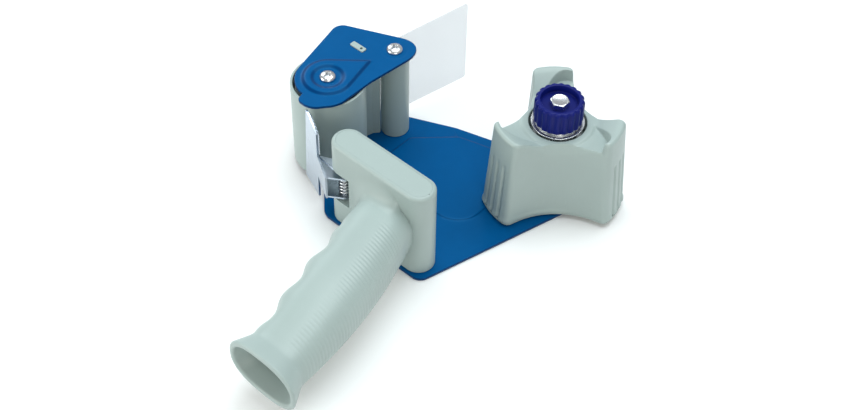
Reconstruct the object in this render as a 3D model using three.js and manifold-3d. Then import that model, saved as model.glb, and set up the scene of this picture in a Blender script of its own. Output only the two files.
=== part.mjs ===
// Hand-held packing-tape dispenser, lying on its side plate.
// Frame: origin on the hub axis at the underside of the side plate, +Z up along the hub axis,
// +X along the long side of the handle block, -Y from the hub towards the grip. Millimetres.
import * as THREE from 'three';
import { mergeVertices } from 'three/addons/utils/BufferGeometryUtils.js';
import Module from 'manifold-3d';

const wasm = await Module();
wasm.setup();

// ---------------------------------------------------------------- clearances
const SEAT = 0.05;          // faces that rest on each other
const FIT = 0.12;           // radial play of fixed pins, screws and inserts in their holes
const RUN = 0.08;           // radial running play of turning parts
const AXIAL_PLAY = 0.35;    // end play of turning parts

// ---------------------------------------------------------------- side plate
const PLATE_T = 1.6;                    // sheet thickness of the side plate
const PLATE_HUB_R = 17.7;               // rounded end of the plate about the hub axis
const REAR_EDGE_DEG = 74.6;             // heading of the edge from the handle to the hub
const FAR_EDGE_DEG = 16.4;              // heading of the edge beside the hub
const HEAD_EDGE_DEG = 24.4;             // heading of the shared far edge at the head
const LEFT_EDGE_DEG = -76;              // heading of the shared left edge at the head
const PLATE_CORNER_R = 6;
const FRONT_MARGIN = 1.4;               // plate showing in front of the handle block
const NOSE_DIAGONAL_DEG = -45;          // cut-off corner between the head and the handle
const NOSE_CLEAR_X = 11.4;              // roller axis to the start of that diagonal
const PANEL_RAISE = 0.6;                // pressed-up stiffening panel
const PANEL_WALL = 1.2;
const PANEL_CORNERS = [                 // x, y, corner radius
  [-14, -55.5, 16], [-14, 8.9, 10], [-59.5, -4.2, 5], [-79, -23.3, 4], [-79, -41, 6], [-64.5, -55.5, 6],
];

// ---------------------------------------------------------------- head: roller, post and upper plate
const ROLLER_X = -100.16;
const ROLLER_Y = -61.04;
const ROLLER_R = 19.2;
const ROLLER_WALL = 2.8;
const ROLLER_BOTTOM_GAP = 2.4;          // side plate to drum
const ROLLER_H = 50.9;
const ROLLER_HUB_T = 4;                 // end discs pressed into the drum
const ROLLER_HUB_INSET = 3;
const ROLLER_HUB_BOSS_R = 6.5;
const ROLLER_HUB_BOSS_H = 7;
const AXLE_R = 3.5;
const POST_X = -89.62;
const POST_Y = -23.03;
const POST_R = 7.6;
const HEAD_T = 1.5;                     // sheet thickness of the upper plate
const HEAD_GAP = 54;                    // clear height between the two plates
const HEAD_ROLLER_R = 16.8;             // plate edge about the roller axis
const HEAD_POST_R = 10.2;               // plate edge about the post axis
const HEAD_CORNER_R = 6;
const LUG_REACH = 21.9;                 // nose lug in front of the roller axis
const LUG_LEFT = 0.2;                   // lug side, from the roller axis
const LUG_RIGHT = 17.9;
const SCREW_R = 2;                      // M4 screws of the head and the handle
const SCREW_LENGTH = 9;
const PAN_HEAD_R = 4.2;
const PAN_HEAD_H = 2.3;
const FLAT_HEAD_R = 3.9;
const FLAT_HEAD_H = 1.4;
const RECESS_R = 1.9;                   // cross recess of every screw
const RECESS_W = 0.9;
const RECESS_DEPTH = 0.9;

// ---------------------------------------------------------------- tape flap and its holder
const FLAP_T = 0.5;
const FLAP_H = 50.4;                    // height where the holder grips it
const FLAP_END_H = 52.4;                // height at the free end
const FLAP_GAP = 2.8;                   // side plate to flap
const FLAP_HEADING_DEG = 78.4;
const FLAP_ROOT_X = -99.4;              // where the flap leaves the holder
const FLAP_ROOT_Y = -29.4;
const FLAP_LENGTH = 61.5;               // free length past the holder
const FLAP_GRIP = 7.5;                  // length held in the slit
const FLAP_FLEX_GAP = 0.3;
const FLAP_ROOT_OUT = 0.8;
const HOLDER_CORNERS = [
  [-110.6, -37.4, 1.2], [-96.7, -41.1, 1.2], [-94.9, -33, 1.2], [-94.4, -29.9, 1.2], [-110.6, -31.2, 1.2],
];
const TAB_X = -104.8;                   // locating tabs of the holder in both plates
const TAB_Y = -34.2;
const TAB_L = 9;
const TAB_W = 3.4;
const TAB_PROUD = 0.6;
const TAB_HOLE_R = 0.8;

// ---------------------------------------------------------------- handle block and grip
const BLOCK_X = -40.04;
const BLOCK_Y = -83.86;
const BLOCK_HALF = 23.5;                // centre to each end centre
const BLOCK_R = 8.25;
const BLOCK_H = 53.3;
const BLOCK_WALL = 2.6;
const BLOCK_FLOOR = 14;                 // solid foot that takes the screws
const CAP_MARGIN = 2;
const CAP_T = 2;
const HANDLE_SCREW_SPREAD = 19;
const GRIP_LENGTH = 105;                // block face to the open end
const GRIP_HALF_X = 16.2;
const GRIP_HALF_Z = 15.2;
const GRIP_SQUARENESS = 2.5;            // superellipse exponent of the section
const GRIP_START_X = -29.6;
const GRIP_LEAN = 32.5;                  // centre line: start + lean * u + curl * u^2
const GRIP_CURL = -11.6;
const GRIP_BELLY = 2.6;
const GRIP_FLARE = 4.9;
const GRIP_FLARE_L = 13;
const GRIP_WALL = 3;
const GRIP_HOLLOW = 78;
const GRIP_FILLET = 7;
const FINGER_DEPTH = 3;
const FINGER_PITCH = 21.5;
const FINGER_FIRST = 27.5;              // block face to the first ridge

// ---------------------------------------------------------------- blade arm
const SLOT_LEFT = -78;                  // slot of the block, open to its front and its rounded end
const SLOT_RIGHT = -56;
const SLOT_LOW = 15.6;                  // above the side plate
const SLOT_HIGH = 35;
const SLOT_DEPTH = 11;
const PIN_X = -63.4;
const PIN_Y = -87.2;
const PIN_R = 1.6;
const PIN_HOLD = 4.5;                   // pin length in each slot cheek
const ARM_T = 1;
const ARM_NEAR = [-97.5, -80.7];        // arm edge beside the roller
const ARM_FAR = [-81.8, -87.0];         // arm edge towards the handle
const ARM_LOW = 2.4;                    // above the side plate
const ARM_HIGH = 52.6;
const ARM_LEAN = 4.4;                   // the near edge leans in towards its top
const ARM_CORNER_Z = 46.5;
const EAR_LOW = 17.2;
const EAR_HIGH = 31.6;
const WEB_END = [-68.2, -95.0];
const EAR_R = 4.1;
const BLADE_T = 0.5;
const TOOTH_PITCH = 1.7;
const TOOTH_H = 1.1;
const BLADE_INSET = 6.5;
const COIL_R = 3;
const COIL_WIRE = 0.45;
const COIL_TURNS = 5;

// ---------------------------------------------------------------- core hub and brake
const LOBE_R = 38;
const LOBE_TOP_R = 34.2;
const LOBE_HALF_DEG = 18;
const LOBE_START_DEG = 14;
const WAIST_R = 20.3;
const HUB_LIFT = 2.4;                   // side plate to the hub skirt
const HUB_FACE = 48.5;                  // middle of the hub top, above the side plate
const HUB_RIM = 55;                     // outer end of each lobe top
const FACE_R = 19.5;                    // level ring around the well
const LOBE_STEP = 1;
const RIM_FOOT_R = 26;                  // raised end of each lobe
const RIM_TOP_R = 30;
const HUB_WALL = 2.4;
const HUB_BASE_T = 1.1;
const WELL_R = 14.6;
const WELL_DEPTH = 12;
const WELL_FLOOR_T = 3;
const HUB_SLEEVE_R = 9;
const HUB_POST_R = 6;
const HUB_FLANGE_R = 13;
const HUB_FLANGE_T = 0.5;
const WASHER_R = 13;
const WASHER_T = 1;
const SPRING_R = 9.4;
const SPRING_WIRE = 0.8;
const SPRING_TURNS = 3.5;
const CUP_R = 14;
const CUP_T = 1;
const CUP_Z = 47.8;                     // underside of the pressure washer, above the side plate
const LOCK_R = 11.4;                    // spring washer under the knob
const LOCK_T = 1.1;
const KNOB_R = 12.5;
const KNOB_H = 13.3;
const KNOB_TOP = 63.4;
const KNOB_FLUTES = 20;
const KNOB_FLUTE_DEPTH = 0.7;
const KNOB_DISH_R = 9.6;
const KNOB_DISH = 4.1;
const BOLT_R = 3;
const BOLT_HEX = 8.6;                   // across flats
const BOLT_HEAD_H = 3.4;
const BOLT_LENGTH = 32;

// ---------------------------------------------------------------- derived heights
const DECK = PLATE_T;                              // top of the side plate
const HEAD_UNDER = DECK + HEAD_GAP;
const HEAD_TOP = HEAD_UNDER + HEAD_T;
const BLOCK_TOP = DECK + BLOCK_H;
const BLOCK_FRONT = BLOCK_Y - BLOCK_R;
const MID_Z = DECK + BLOCK_H / 2;

const CIRCLE = 24;                                 // facets of a large circle
const SMALL_CIRCLE = 14;                           // facets of a screw or pin

// ---------------------------------------------------------------- solid helpers
function solid(geometry) {
  const bare = geometry.clone();
  bare.deleteAttribute('normal');
  bare.deleteAttribute('uv');
  const merged = mergeVertices(bare, 1e-4);
  const triangles = Uint32Array.from(merged.index.array);
  const build = () => new wasm.Manifold(new wasm.Mesh({
    numProp: 3,
    vertProperties: Float32Array.from(merged.attributes.position.array),
    triVerts: triangles,
  }));
  const made = build();
  if (made.volume() > 0) return made;
  for (let i = 0; i < triangles.length; i += 3) {
    [triangles[i], triangles[i + 1]] = [triangles[i + 1], triangles[i]];
  }
  return build();
}

function geometryOf(body) {
  const mesh = body.getMesh();
  const geometry = new THREE.BufferGeometry();
  geometry.setAttribute('position', new THREE.BufferAttribute(Float32Array.from(mesh.vertProperties), 3));
  geometry.setIndex(new THREE.BufferAttribute(Uint32Array.from(mesh.triVerts), 1));
  geometry.computeVertexNormals();
  return geometry;
}

function cylinder(radius, low, high, x = 0, y = 0, facets = SMALL_CIRCLE, topRadius = radius) {
  const geometry = new THREE.CylinderGeometry(topRadius, radius, high - low, facets);
  geometry.rotateX(Math.PI / 2);
  geometry.translate(x, y, (low + high) / 2);
  return solid(geometry);
}

function ring(outer, inner, low, high, x = 0, y = 0, facets = CIRCLE) {
  const profile = [[inner, low], [outer, low], [outer, high], [inner, high], [inner, low]];
  const geometry = new THREE.LatheGeometry(profile.map(([r, z]) => new THREE.Vector2(r, z)), facets);
  geometry.rotateX(Math.PI / 2);
  geometry.translate(x, y, 0);
  return solid(geometry);
}

function box(x0, x1, y0, y1, z0, z1) {
  const geometry = new THREE.BoxGeometry(x1 - x0, y1 - y0, z1 - z0);
  geometry.translate((x0 + x1) / 2, (y0 + y1) / 2, (z0 + z1) / 2);
  return solid(geometry);
}

function prism(shape, low, high, curveSegments = 6) {
  const geometry = new THREE.ExtrudeGeometry(shape, { depth: high - low, bevelEnabled: false, curveSegments });
  geometry.translate(0, 0, low);
  return solid(geometry);
}

function cornerFrame(corners, i) {
  const at = (k) => new THREE.Vector2(...corners[(k + corners.length) % corners.length].slice(0, 2));
  const here = at(i);
  const toBefore = at(i - 1).sub(here).normalize();
  const toAfter = at(i + 1).sub(here).normalize();
  const half = Math.acos(THREE.MathUtils.clamp(toBefore.dot(toAfter), -1, 1)) / 2;
  const concave = toBefore.cross(toAfter) > 0;
  return { here, toBefore, toAfter, half, concave };
}

// An outline from corners [x, y, radius], anticlockwise, with an arc at every corner.
function roundedShape(corners) {
  const shape = new THREE.Shape();
  corners.forEach(([, , radius], i) => {
    const { here, toBefore, toAfter, half, concave } = cornerFrame(corners, i);
    const start = here.clone().addScaledVector(toBefore, radius / Math.tan(half));
    const end = here.clone().addScaledVector(toAfter, radius / Math.tan(half));
    const inward = toBefore.clone().add(toAfter).normalize();
    const centre = here.clone().addScaledVector(inward, radius / Math.sin(half));
    if (i === 0) shape.moveTo(start.x, start.y);
    else shape.lineTo(start.x, start.y);
    const startAngle = Math.atan2(start.y - centre.y, start.x - centre.x);
    const endAngle = Math.atan2(end.y - centre.y, end.x - centre.x);
    shape.absarc(centre.x, centre.y, radius, startAngle, endAngle, concave);
  });
  return shape;
}

function insetCorners(corners, distance) {
  return corners.map(([x, y, radius], i) => {
    const { toBefore, toAfter, half, concave } = cornerFrame(corners, i);
    const sign = concave ? -1 : 1;
    const inward = toBefore.clone().add(toAfter).normalize();
    const reach = sign * distance / Math.sin(half);
    return [x + inward.x * reach, y + inward.y * reach, Math.max(0.2, radius - sign * distance)];
  });
}

const radians = THREE.MathUtils.degToRad;

// Line that passes a centre at a given distance, on the right-hand side of its heading.
function tangentLine(x, y, distance, headingDeg) {
  const heading = radians(headingDeg);
  return {
    x: x + distance * Math.sin(heading), y: y - distance * Math.cos(heading),
    dx: Math.cos(heading), dy: Math.sin(heading),
  };
}

function crossing(a, b, radius) {
  const scale = a.dx * b.dy - a.dy * b.dx;
  const t = ((b.x - a.x) * b.dy - (b.y - a.y) * b.dx) / scale;
  return [a.x + a.dx * t, a.y + a.dy * t, radius];
}

function stadium(x, y, half, radius) {
  const shape = new THREE.Shape();
  shape.absarc(x + half, y, radius, -Math.PI / 2, Math.PI / 2, false);
  shape.absarc(x - half, y, radius, Math.PI / 2, 3 * Math.PI / 2, false);
  return shape;
}

function helixTube(radius, wire, turns, low, high, x, y) {
  class Helix extends THREE.Curve {
    getPoint(t, target = new THREE.Vector3()) {
      const angle = 2 * Math.PI * turns * t;
      return target.set(x + radius * Math.cos(angle), y + radius * Math.sin(angle), low + (high - low) * t);
    }
  }
  const section = new THREE.Shape();
  section.absarc(0, 0, wire, 0, 2 * Math.PI, false);
  const steps = Math.round(turns * 11);
  const options = { steps, extrudePath: new Helix(), curveSegments: 3, bevelEnabled: false };
  return solid(new THREE.ExtrudeGeometry(section, options));
}

const group = new THREE.Group();

function add(name, body, color, roughness, metalness = 0) {
  const material = new THREE.MeshStandardMaterial({ color, roughness, metalness });
  const mesh = new THREE.Mesh(geometryOf(body), material);
  mesh.name = name;
  group.add(mesh);
}

const BLUE = [0x0060ae, 0.28];
const GREY = [0xb3c0bb, 0.45];
const STEEL = [0xc4c8cc, 0.25, 1];
const INDIGO = [0x1f2a86, 0.35];
const CLEAR = [0xe6ecef, 0.2];
const FIBRE = [0x6b4a35, 0.9];

// ---------------------------------------------------------------- plates
const rollerBottom = { x: ROLLER_X, y: ROLLER_Y - HEAD_ROLLER_R, dx: 1, dy: 0 };
const leftEdge = tangentLine(ROLLER_X, ROLLER_Y, HEAD_ROLLER_R, LEFT_EDGE_DEG);
const headEdge = tangentLine(POST_X, POST_Y, HEAD_POST_R, HEAD_EDGE_DEG + 180);
const farEdge = tangentLine(0, 0, PLATE_HUB_R, FAR_EDGE_DEG + 180);
const rearEdge = tangentLine(0, 0, PLATE_HUB_R, REAR_EDGE_DEG);
const frontEdge = { x: BLOCK_X, y: BLOCK_FRONT - FRONT_MARGIN, dx: 1, dy: 0 };
const noseStart = [ROLLER_X + NOSE_CLEAR_X, rollerBottom.y];
const noseHeading = radians(NOSE_DIAGONAL_DEG);
const noseEdge = { x: noseStart[0], y: noseStart[1], dx: Math.cos(noseHeading), dy: Math.sin(noseHeading) };

const rollerCorner = crossing(leftEdge, rollerBottom, HEAD_ROLLER_R);
const farLeftCorner = crossing(headEdge, leftEdge, HEAD_CORNER_R);
const plateCorners = [
  rollerCorner,
  [...noseStart, 3],
  crossing(noseEdge, frontEdge, 8),
  crossing(frontEdge, rearEdge, PLATE_CORNER_R),
  crossing(rearEdge, farEdge, PLATE_HUB_R),
  crossing(farEdge, headEdge, 25),
  farLeftCorner,
];

const headSide = { x: ROLLER_X + LUG_RIGHT, y: ROLLER_Y + 13, dx: 2.3, dy: 25 };
const postSide = tangentLine(POST_X, POST_Y, HEAD_POST_R, THREE.MathUtils.radToDeg(Math.atan2(25, 2.3)));
const headCorners = [
  rollerCorner,
  [ROLLER_X - LUG_LEFT - 1, rollerBottom.y, 0.8],
  [ROLLER_X + LUG_LEFT, ROLLER_Y - LUG_REACH, 3],
  [ROLLER_X + LUG_RIGHT / 2, ROLLER_Y - LUG_REACH, 9],
  [ROLLER_X + LUG_RIGHT, ROLLER_Y - LUG_RIGHT / 1.7, 12],
  [headSide.x, headSide.y, 20],
  crossing(postSide, headEdge, HEAD_POST_R),
  farLeftCorner,
];

function tabSlot(low, high, play) {
  const half = TAB_L / 2 + play;
  const wide = TAB_W / 2 + play;
  return box(TAB_X - half, TAB_X + half, TAB_Y - wide, TAB_Y + wide, low, high);
}

function countersink(x, y) {
  const play = FIT;
  const cone = cylinder(FLAT_HEAD_R + play, -SEAT, FLAT_HEAD_H + play, x, y, SMALL_CIRCLE, SCREW_R + play);
  return cone.add(cylinder(SCREW_R + play, 0, DECK + 1, x, y));
}

const handleScrews = [-1, 1].map((side) => [BLOCK_X + side * HANDLE_SCREW_SPREAD, BLOCK_Y]);
const headAxes = [[ROLLER_X, ROLLER_Y], [POST_X, POST_Y]];

function framePlate() {
  const panel = roundedShape(PANEL_CORNERS);
  const hollow = roundedShape(insetCorners(PANEL_CORNERS, PANEL_WALL));
  let plate = prism(roundedShape(plateCorners), 0, DECK).add(prism(panel, DECK - 0.2, DECK + PANEL_RAISE));
  plate = plate.subtract(prism(hollow, -1, PANEL_RAISE));
  for (const [x, y] of [...handleScrews, ...headAxes]) plate = plate.subtract(countersink(x, y));
  return plate.subtract(tabSlot(-1, DECK + 1, FIT));
}

function headPlate() {
  let plate = prism(roundedShape(headCorners), HEAD_UNDER, HEAD_TOP);
  for (const [x, y] of headAxes) {
    plate = plate.subtract(cylinder(SCREW_R + FIT, HEAD_UNDER - 1, HEAD_TOP + 1, x, y));
  }
  return plate.subtract(tabSlot(HEAD_UNDER - 1, HEAD_TOP + 1, FIT));
}

add('frame_plate', framePlate(), ...BLUE);
add('head_plate', headPlate(), ...BLUE);

// ---------------------------------------------------------------- screws
function crossRecess(x, y, low, high) {
  const half = RECESS_W / 2;
  const bar = box(x - RECESS_R, x + RECESS_R, y - half, y + half, low, high);
  return bar.add(box(x - half, x + half, y - RECESS_R, y + RECESS_R, low, high));
}

function panScrew(x, y) {
  const seat = HEAD_TOP + SEAT;
  const top = seat + PAN_HEAD_H;
  const head = cylinder(PAN_HEAD_R, seat, seat + PAN_HEAD_H * 0.45, x, y, 24)
    .add(cylinder(PAN_HEAD_R, seat + PAN_HEAD_H * 0.45, top, x, y, 24, PAN_HEAD_R * 0.62));
  const shank = cylinder(SCREW_R, top - PAN_HEAD_H - SCREW_LENGTH, seat + 0.1, x, y);
  return head.add(shank).subtract(crossRecess(x, y, top - RECESS_DEPTH, top + 1));
}

function flatScrew(x, y) {
  const head = cylinder(FLAT_HEAD_R, 0, FLAT_HEAD_H, x, y, SMALL_CIRCLE, SCREW_R);
  const shank = cylinder(SCREW_R, FLAT_HEAD_H - 0.1, FLAT_HEAD_H + SCREW_LENGTH, x, y);
  return head.add(shank).subtract(crossRecess(x, y, -1, RECESS_DEPTH));
}

const screwHole = (x, y, low, high) => cylinder(SCREW_R + FIT, low, high, x, y);

add('roller_screw_top', panScrew(ROLLER_X, ROLLER_Y), ...STEEL);
add('post_screw_top', panScrew(POST_X, POST_Y), ...STEEL);
add('roller_screw_bottom', flatScrew(ROLLER_X, ROLLER_Y), ...STEEL);
add('post_screw_bottom', flatScrew(POST_X, POST_Y), ...STEEL);
handleScrews.forEach(([x, y], i) => add(`handle_screw_${i + 1}`, flatScrew(x, y), ...STEEL));

// ---------------------------------------------------------------- roller, axle and post
function tappedBar(radius, x, y, facets) {
  const low = DECK + SEAT;
  const high = HEAD_UNDER - SEAT;
  const depth = SCREW_LENGTH + 2;
  return cylinder(radius, low, high, x, y, facets)
    .subtract(screwHole(x, y, low - 1, low + depth))
    .subtract(screwHole(x, y, high - depth, high + 1));
}

add('roller_axle', tappedBar(AXLE_R, ROLLER_X, ROLLER_Y, 24), ...STEEL);
add('spacer_post', tappedBar(POST_R, POST_X, POST_Y, CIRCLE), ...GREY);

const drumLow = DECK + ROLLER_BOTTOM_GAP;
const drumHigh = drumLow + ROLLER_H;
const drumBore = ROLLER_R - ROLLER_WALL;
add('roller_drum', ring(ROLLER_R, drumBore, drumLow, drumHigh, ROLLER_X, ROLLER_Y, 48), ...GREY);

// The boss of each end disc reaches its plate, so that it carries the drum's end play.
function rollerHub(discLow, bossLow, bossHigh) {
  const bore = AXLE_R + RUN;
  const disc = ring(drumBore - FIT, bore, discLow, discLow + ROLLER_HUB_T, ROLLER_X, ROLLER_Y, 30);
  return disc.add(ring(ROLLER_HUB_BOSS_R, bore, bossLow, bossHigh, ROLLER_X, ROLLER_Y, 24));
}
const lowDisc = drumLow + ROLLER_HUB_INSET;
const highDisc = drumHigh - ROLLER_HUB_INSET - ROLLER_HUB_T;
add('roller_hub_lower', rollerHub(lowDisc, DECK + AXIAL_PLAY, lowDisc + ROLLER_HUB_BOSS_H), ...GREY);
add('roller_hub_upper', rollerHub(highDisc, highDisc - 3, HEAD_UNDER - AXIAL_PLAY), ...GREY);

// ---------------------------------------------------------------- tape flap and holder
const flapHeading = radians(FLAP_HEADING_DEG);
const flapLow = DECK + FLAP_GAP;

// A stretch of the flap sheet, or of the slit around it, with play on every side.
function flapStrip(from, to, play) {
  const topAt = (along) => THREE.MathUtils.mapLinear(along, -FLAP_GRIP, FLAP_LENGTH, FLAP_H, FLAP_END_H);
  const outline = [[from, -play], [to, -play], [to, topAt(to) + play], [from, topAt(from) + play]];
  const shape = new THREE.Shape(outline.map(([along, z]) => new THREE.Vector2(along, z)));
  const depth = FLAP_T + 2 * play;
  const strip = new THREE.ExtrudeGeometry(shape, { depth, bevelEnabled: false });
  strip.rotateX(Math.PI / 2);
  strip.translate(0, depth / 2, flapLow);
  strip.rotateZ(flapHeading);
  strip.translate(FLAP_ROOT_X, FLAP_ROOT_Y, 0);
  return solid(strip);
}

function flapHolder() {
  const low = DECK + SEAT;
  const high = HEAD_UNDER - SEAT;
  const body = prism(roundedShape(HOLDER_CORNERS), low, high)
    .add(tabSlot(SEAT * 4, low + 1, 0))
    .add(tabSlot(high - 1, HEAD_TOP + TAB_PROUD, 0));
  const slit = flapStrip(-FLAP_GRIP - FIT, FLAP_GRIP, FIT);
  const eye = cylinder(TAB_HOLE_R, HEAD_TOP - 1.5, HEAD_TOP + 2, TAB_X + TAB_L / 4, TAB_Y);
  return body.subtract(slit).subtract(eye);
}

add('flap_holder', flapHolder(), ...GREY);
add('flap_root', flapStrip(-FLAP_GRIP, FLAP_ROOT_OUT, 0), ...CLEAR);
const freeStart = FLAP_ROOT_OUT + FLAP_FLEX_GAP;
add('tape_flap', flapStrip(freeStart, FLAP_LENGTH, 0), ...CLEAR);

// ---------------------------------------------------------------- handle
// Maps a unit cylinder with its axis along Y onto the grip: u runs from the block to the open end.
function gripLoft(fromU, toU, inset, rings, facets) {
  const geometry = new THREE.CylinderGeometry(1, 1, 1, facets, rings);
  const position = geometry.attributes.position;
  for (let i = 0; i < position.count; i += 1) {
    const u = THREE.MathUtils.lerp(fromU, toU, 0.5 - position.getY(i));
    const level = Math.hypot(position.getX(i), position.getZ(i));
    const angle = Math.atan2(position.getZ(i), position.getX(i));
    const along = u * GRIP_LENGTH;
    const root = Math.max(0, 1 - along / GRIP_FILLET);
    const fillet = GRIP_FILLET * (1 - Math.sqrt(1 - Math.min(1, root) ** 2)) * 0.75;
    const flare = GRIP_FLARE * THREE.MathUtils.smoothstep(along, GRIP_LENGTH - GRIP_FLARE_L, GRIP_LENGTH);
    const belly = GRIP_BELLY * Math.sin(Math.PI * Math.min(1, Math.max(0, u / 0.9)));
    const halfX = GRIP_HALF_X + belly + flare + fillet - inset;
    const halfZ = GRIP_HALF_Z + belly / 3 + flare / 2 + fillet - inset;
    const power = 2 / GRIP_SQUARENESS;
    const cx = Math.cos(angle);
    const cz = Math.sin(angle);
    const phase = 2 * Math.PI * (along - FINGER_FIRST) / FINGER_PITCH;
    const reach = THREE.MathUtils.smoothstep(along, FINGER_FIRST - 8, FINGER_FIRST)
      * (1 - THREE.MathUtils.smoothstep(along, GRIP_LENGTH - GRIP_FLARE_L - 8, GRIP_LENGTH - 6));
    const finger = FINGER_DEPTH * reach * (1 - Math.cos(phase)) / 2 * Math.max(0, -cx) ** 1.5;
    const centre = GRIP_START_X + GRIP_LEAN * u + GRIP_CURL * u * u;
    position.setX(i, centre + level * (Math.sign(cx) * halfX * Math.abs(cx) ** power + finger));
    position.setY(i, BLOCK_FRONT - along);
    position.setZ(i, MID_Z + level * Math.sign(cz) * halfZ * Math.abs(cz) ** power);
  }
  return solid(geometry);
}

const capLow = BLOCK_TOP - CAP_T;
const pinLow = DECK + SLOT_LOW - PIN_HOLD;
const pinHigh = DECK + SLOT_HIGH + PIN_HOLD;

function handle() {
  const foot = DECK + SEAT;
  const inner = BLOCK_R - BLOCK_WALL;
  const rootU = -BLOCK_R / GRIP_LENGTH;
  let body = prism(stadium(BLOCK_X, BLOCK_Y, BLOCK_HALF, BLOCK_R), foot, BLOCK_TOP, 12)
    .add(gripLoft(rootU, 1, 0, 30, 24));
  const hollowFrom = 1 - GRIP_HOLLOW / GRIP_LENGTH;
  body = body.subtract(gripLoft(hollowFrom, 1.02, GRIP_WALL, 8, 20));
  const capSeat = stadium(BLOCK_X, BLOCK_Y, BLOCK_HALF, BLOCK_R - CAP_MARGIN);
  body = body.subtract(prism(capSeat, capLow - SEAT, BLOCK_TOP + 1, 10));
  // The block is cored from above, but solid around the blade slot and at its foot.
  const coreFrom = SLOT_RIGHT + BLOCK_WALL + inner;
  const coreTo = BLOCK_X + BLOCK_HALF;
  const core = stadium((coreFrom + coreTo) / 2, BLOCK_Y, (coreTo - coreFrom) / 2, inner);
  body = body.subtract(prism(core, DECK + BLOCK_FLOOR, BLOCK_TOP, 8));
  const slotY = BLOCK_FRONT + SLOT_DEPTH;
  body = body.subtract(box(SLOT_LEFT, SLOT_RIGHT, BLOCK_FRONT - 5, slotY, DECK + SLOT_LOW, DECK + SLOT_HIGH));
  body = body.subtract(cylinder(PIN_R + FIT, pinLow, capLow, PIN_X, PIN_Y));
  for (const [x, y] of handleScrews) {
    body = body.subtract(screwHole(x, y, 0, FLAT_HEAD_H + SCREW_LENGTH + 1));
  }
  return body;
}

add('handle', handle(), ...GREY);
const capShape = stadium(BLOCK_X, BLOCK_Y, BLOCK_HALF, BLOCK_R - CAP_MARGIN - FIT);
add('handle_cap', prism(capShape, capLow, BLOCK_TOP, 10), ...GREY);

// ---------------------------------------------------------------- blade arm, blade, pin and spring
const armVector = new THREE.Vector2(ARM_FAR[0] - ARM_NEAR[0], ARM_FAR[1] - ARM_NEAR[1]);
const armWidth = armVector.length();
const armHeading = armVector.angle();

// Builds a plate that stands along the arm: outline in (distance along, height).
function standing(outline, side, thickness) {
  const shape = new THREE.Shape(outline.map(([s, z]) => new THREE.Vector2(s, z)));
  const geometry = new THREE.ExtrudeGeometry(shape, { depth: thickness, bevelEnabled: false });
  geometry.rotateX(Math.PI / 2);
  geometry.translate(0, side, 0);
  geometry.rotateZ(armHeading);
  geometry.translate(ARM_NEAR[0], ARM_NEAR[1], DECK);
  return solid(geometry);
}

const armEdge = [
  [armWidth, ARM_CORNER_Z], [armWidth * 0.8, ARM_CORNER_Z + 2.5], [armWidth * 0.5, ARM_HIGH - 0.8],
];
const armOutline = [[0, ARM_LOW], [armWidth, ARM_LOW], ...armEdge, [ARM_LEAN, ARM_HIGH]];

function platform(low, high) {
  const far = ARM_FAR;
  const end = WEB_END;
  const heading = Math.atan2(end[1] - far[1], end[0] - far[0]);
  const side = [-Math.sin(heading) * 5.5, Math.cos(heading) * 5.5];
  const ear = new THREE.Shape([
    new THREE.Vector2(far[0], far[1]), new THREE.Vector2(end[0], end[1]),
    new THREE.Vector2(PIN_X + EAR_R * 0.7, PIN_Y - EAR_R * 0.7),
    new THREE.Vector2(PIN_X, PIN_Y + EAR_R),
    new THREE.Vector2(far[0] + side[0] + 4, far[1] + side[1] - 1.5),
  ]);
  return prism(ear, low, high).add(cylinder(EAR_R, low, high, PIN_X, PIN_Y, 24));
}

function bladeArm() {
  const low = DECK + EAR_LOW;
  const high = DECK + EAR_HIGH;
  const heading = Math.atan2(WEB_END[1] - ARM_FAR[1], WEB_END[0] - ARM_FAR[0]);
  const length = Math.hypot(WEB_END[1] - ARM_FAR[1], WEB_END[0] - ARM_FAR[0]);
  const web = new THREE.BoxGeometry(length + ARM_T, ARM_T, high - low);
  web.translate(length / 2, -ARM_T / 2, (low + high) / 2);
  web.rotateZ(heading);
  web.translate(ARM_FAR[0], ARM_FAR[1], 0);
  return standing(armOutline, 0, ARM_T)
    .add(solid(web))
    .add(platform(low, low + ARM_T))
    .add(platform(high - ARM_T, high))
    .subtract(cylinder(PIN_R + RUN, low - 1, high + 1, PIN_X, PIN_Y));
}

function cuttingBlade() {
  const edge = [[armWidth, EAR_HIGH + 0.6], ...armEdge];
  const outline = [];
  for (let i = 0; i < edge.length - 1; i += 1) {
    const from = new THREE.Vector2(...edge[i]);
    const to = new THREE.Vector2(...edge[i + 1]);
    const teeth = Math.max(1, Math.round(from.distanceTo(to) / TOOTH_PITCH));
    const out = to.clone().sub(from).normalize();
    for (let k = 0; k < teeth; k += 1) {
      const root = from.clone().lerp(to, k / teeth);
      const tip = from.clone().lerp(to, (k + 0.5) / teeth);
      outline.push([root.x, root.y], [tip.x + out.y * TOOTH_H, tip.y - out.x * TOOTH_H]);
    }
  }
  const last = edge[edge.length - 1];
  outline.push(last, [BLADE_INSET, last[1]], [BLADE_INSET, edge[0][1]]);
  return standing(outline, SEAT + BLADE_T, BLADE_T);
}

add('blade_arm', bladeArm(), ...STEEL);
add('cutting_blade', cuttingBlade(), ...STEEL);
add('blade_pin', cylinder(PIN_R, pinLow + SEAT, pinHigh, PIN_X, PIN_Y), ...STEEL);
const coilLow = DECK + EAR_LOW + ARM_T + COIL_WIRE + 0.3;
const coilHigh = DECK + EAR_HIGH - ARM_T - COIL_WIRE - 0.3;
add('blade_spring', helixTube(COIL_R, COIL_WIRE, COIL_TURNS, coilLow, coilHigh, PIN_X, PIN_Y), ...STEEL);

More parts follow.
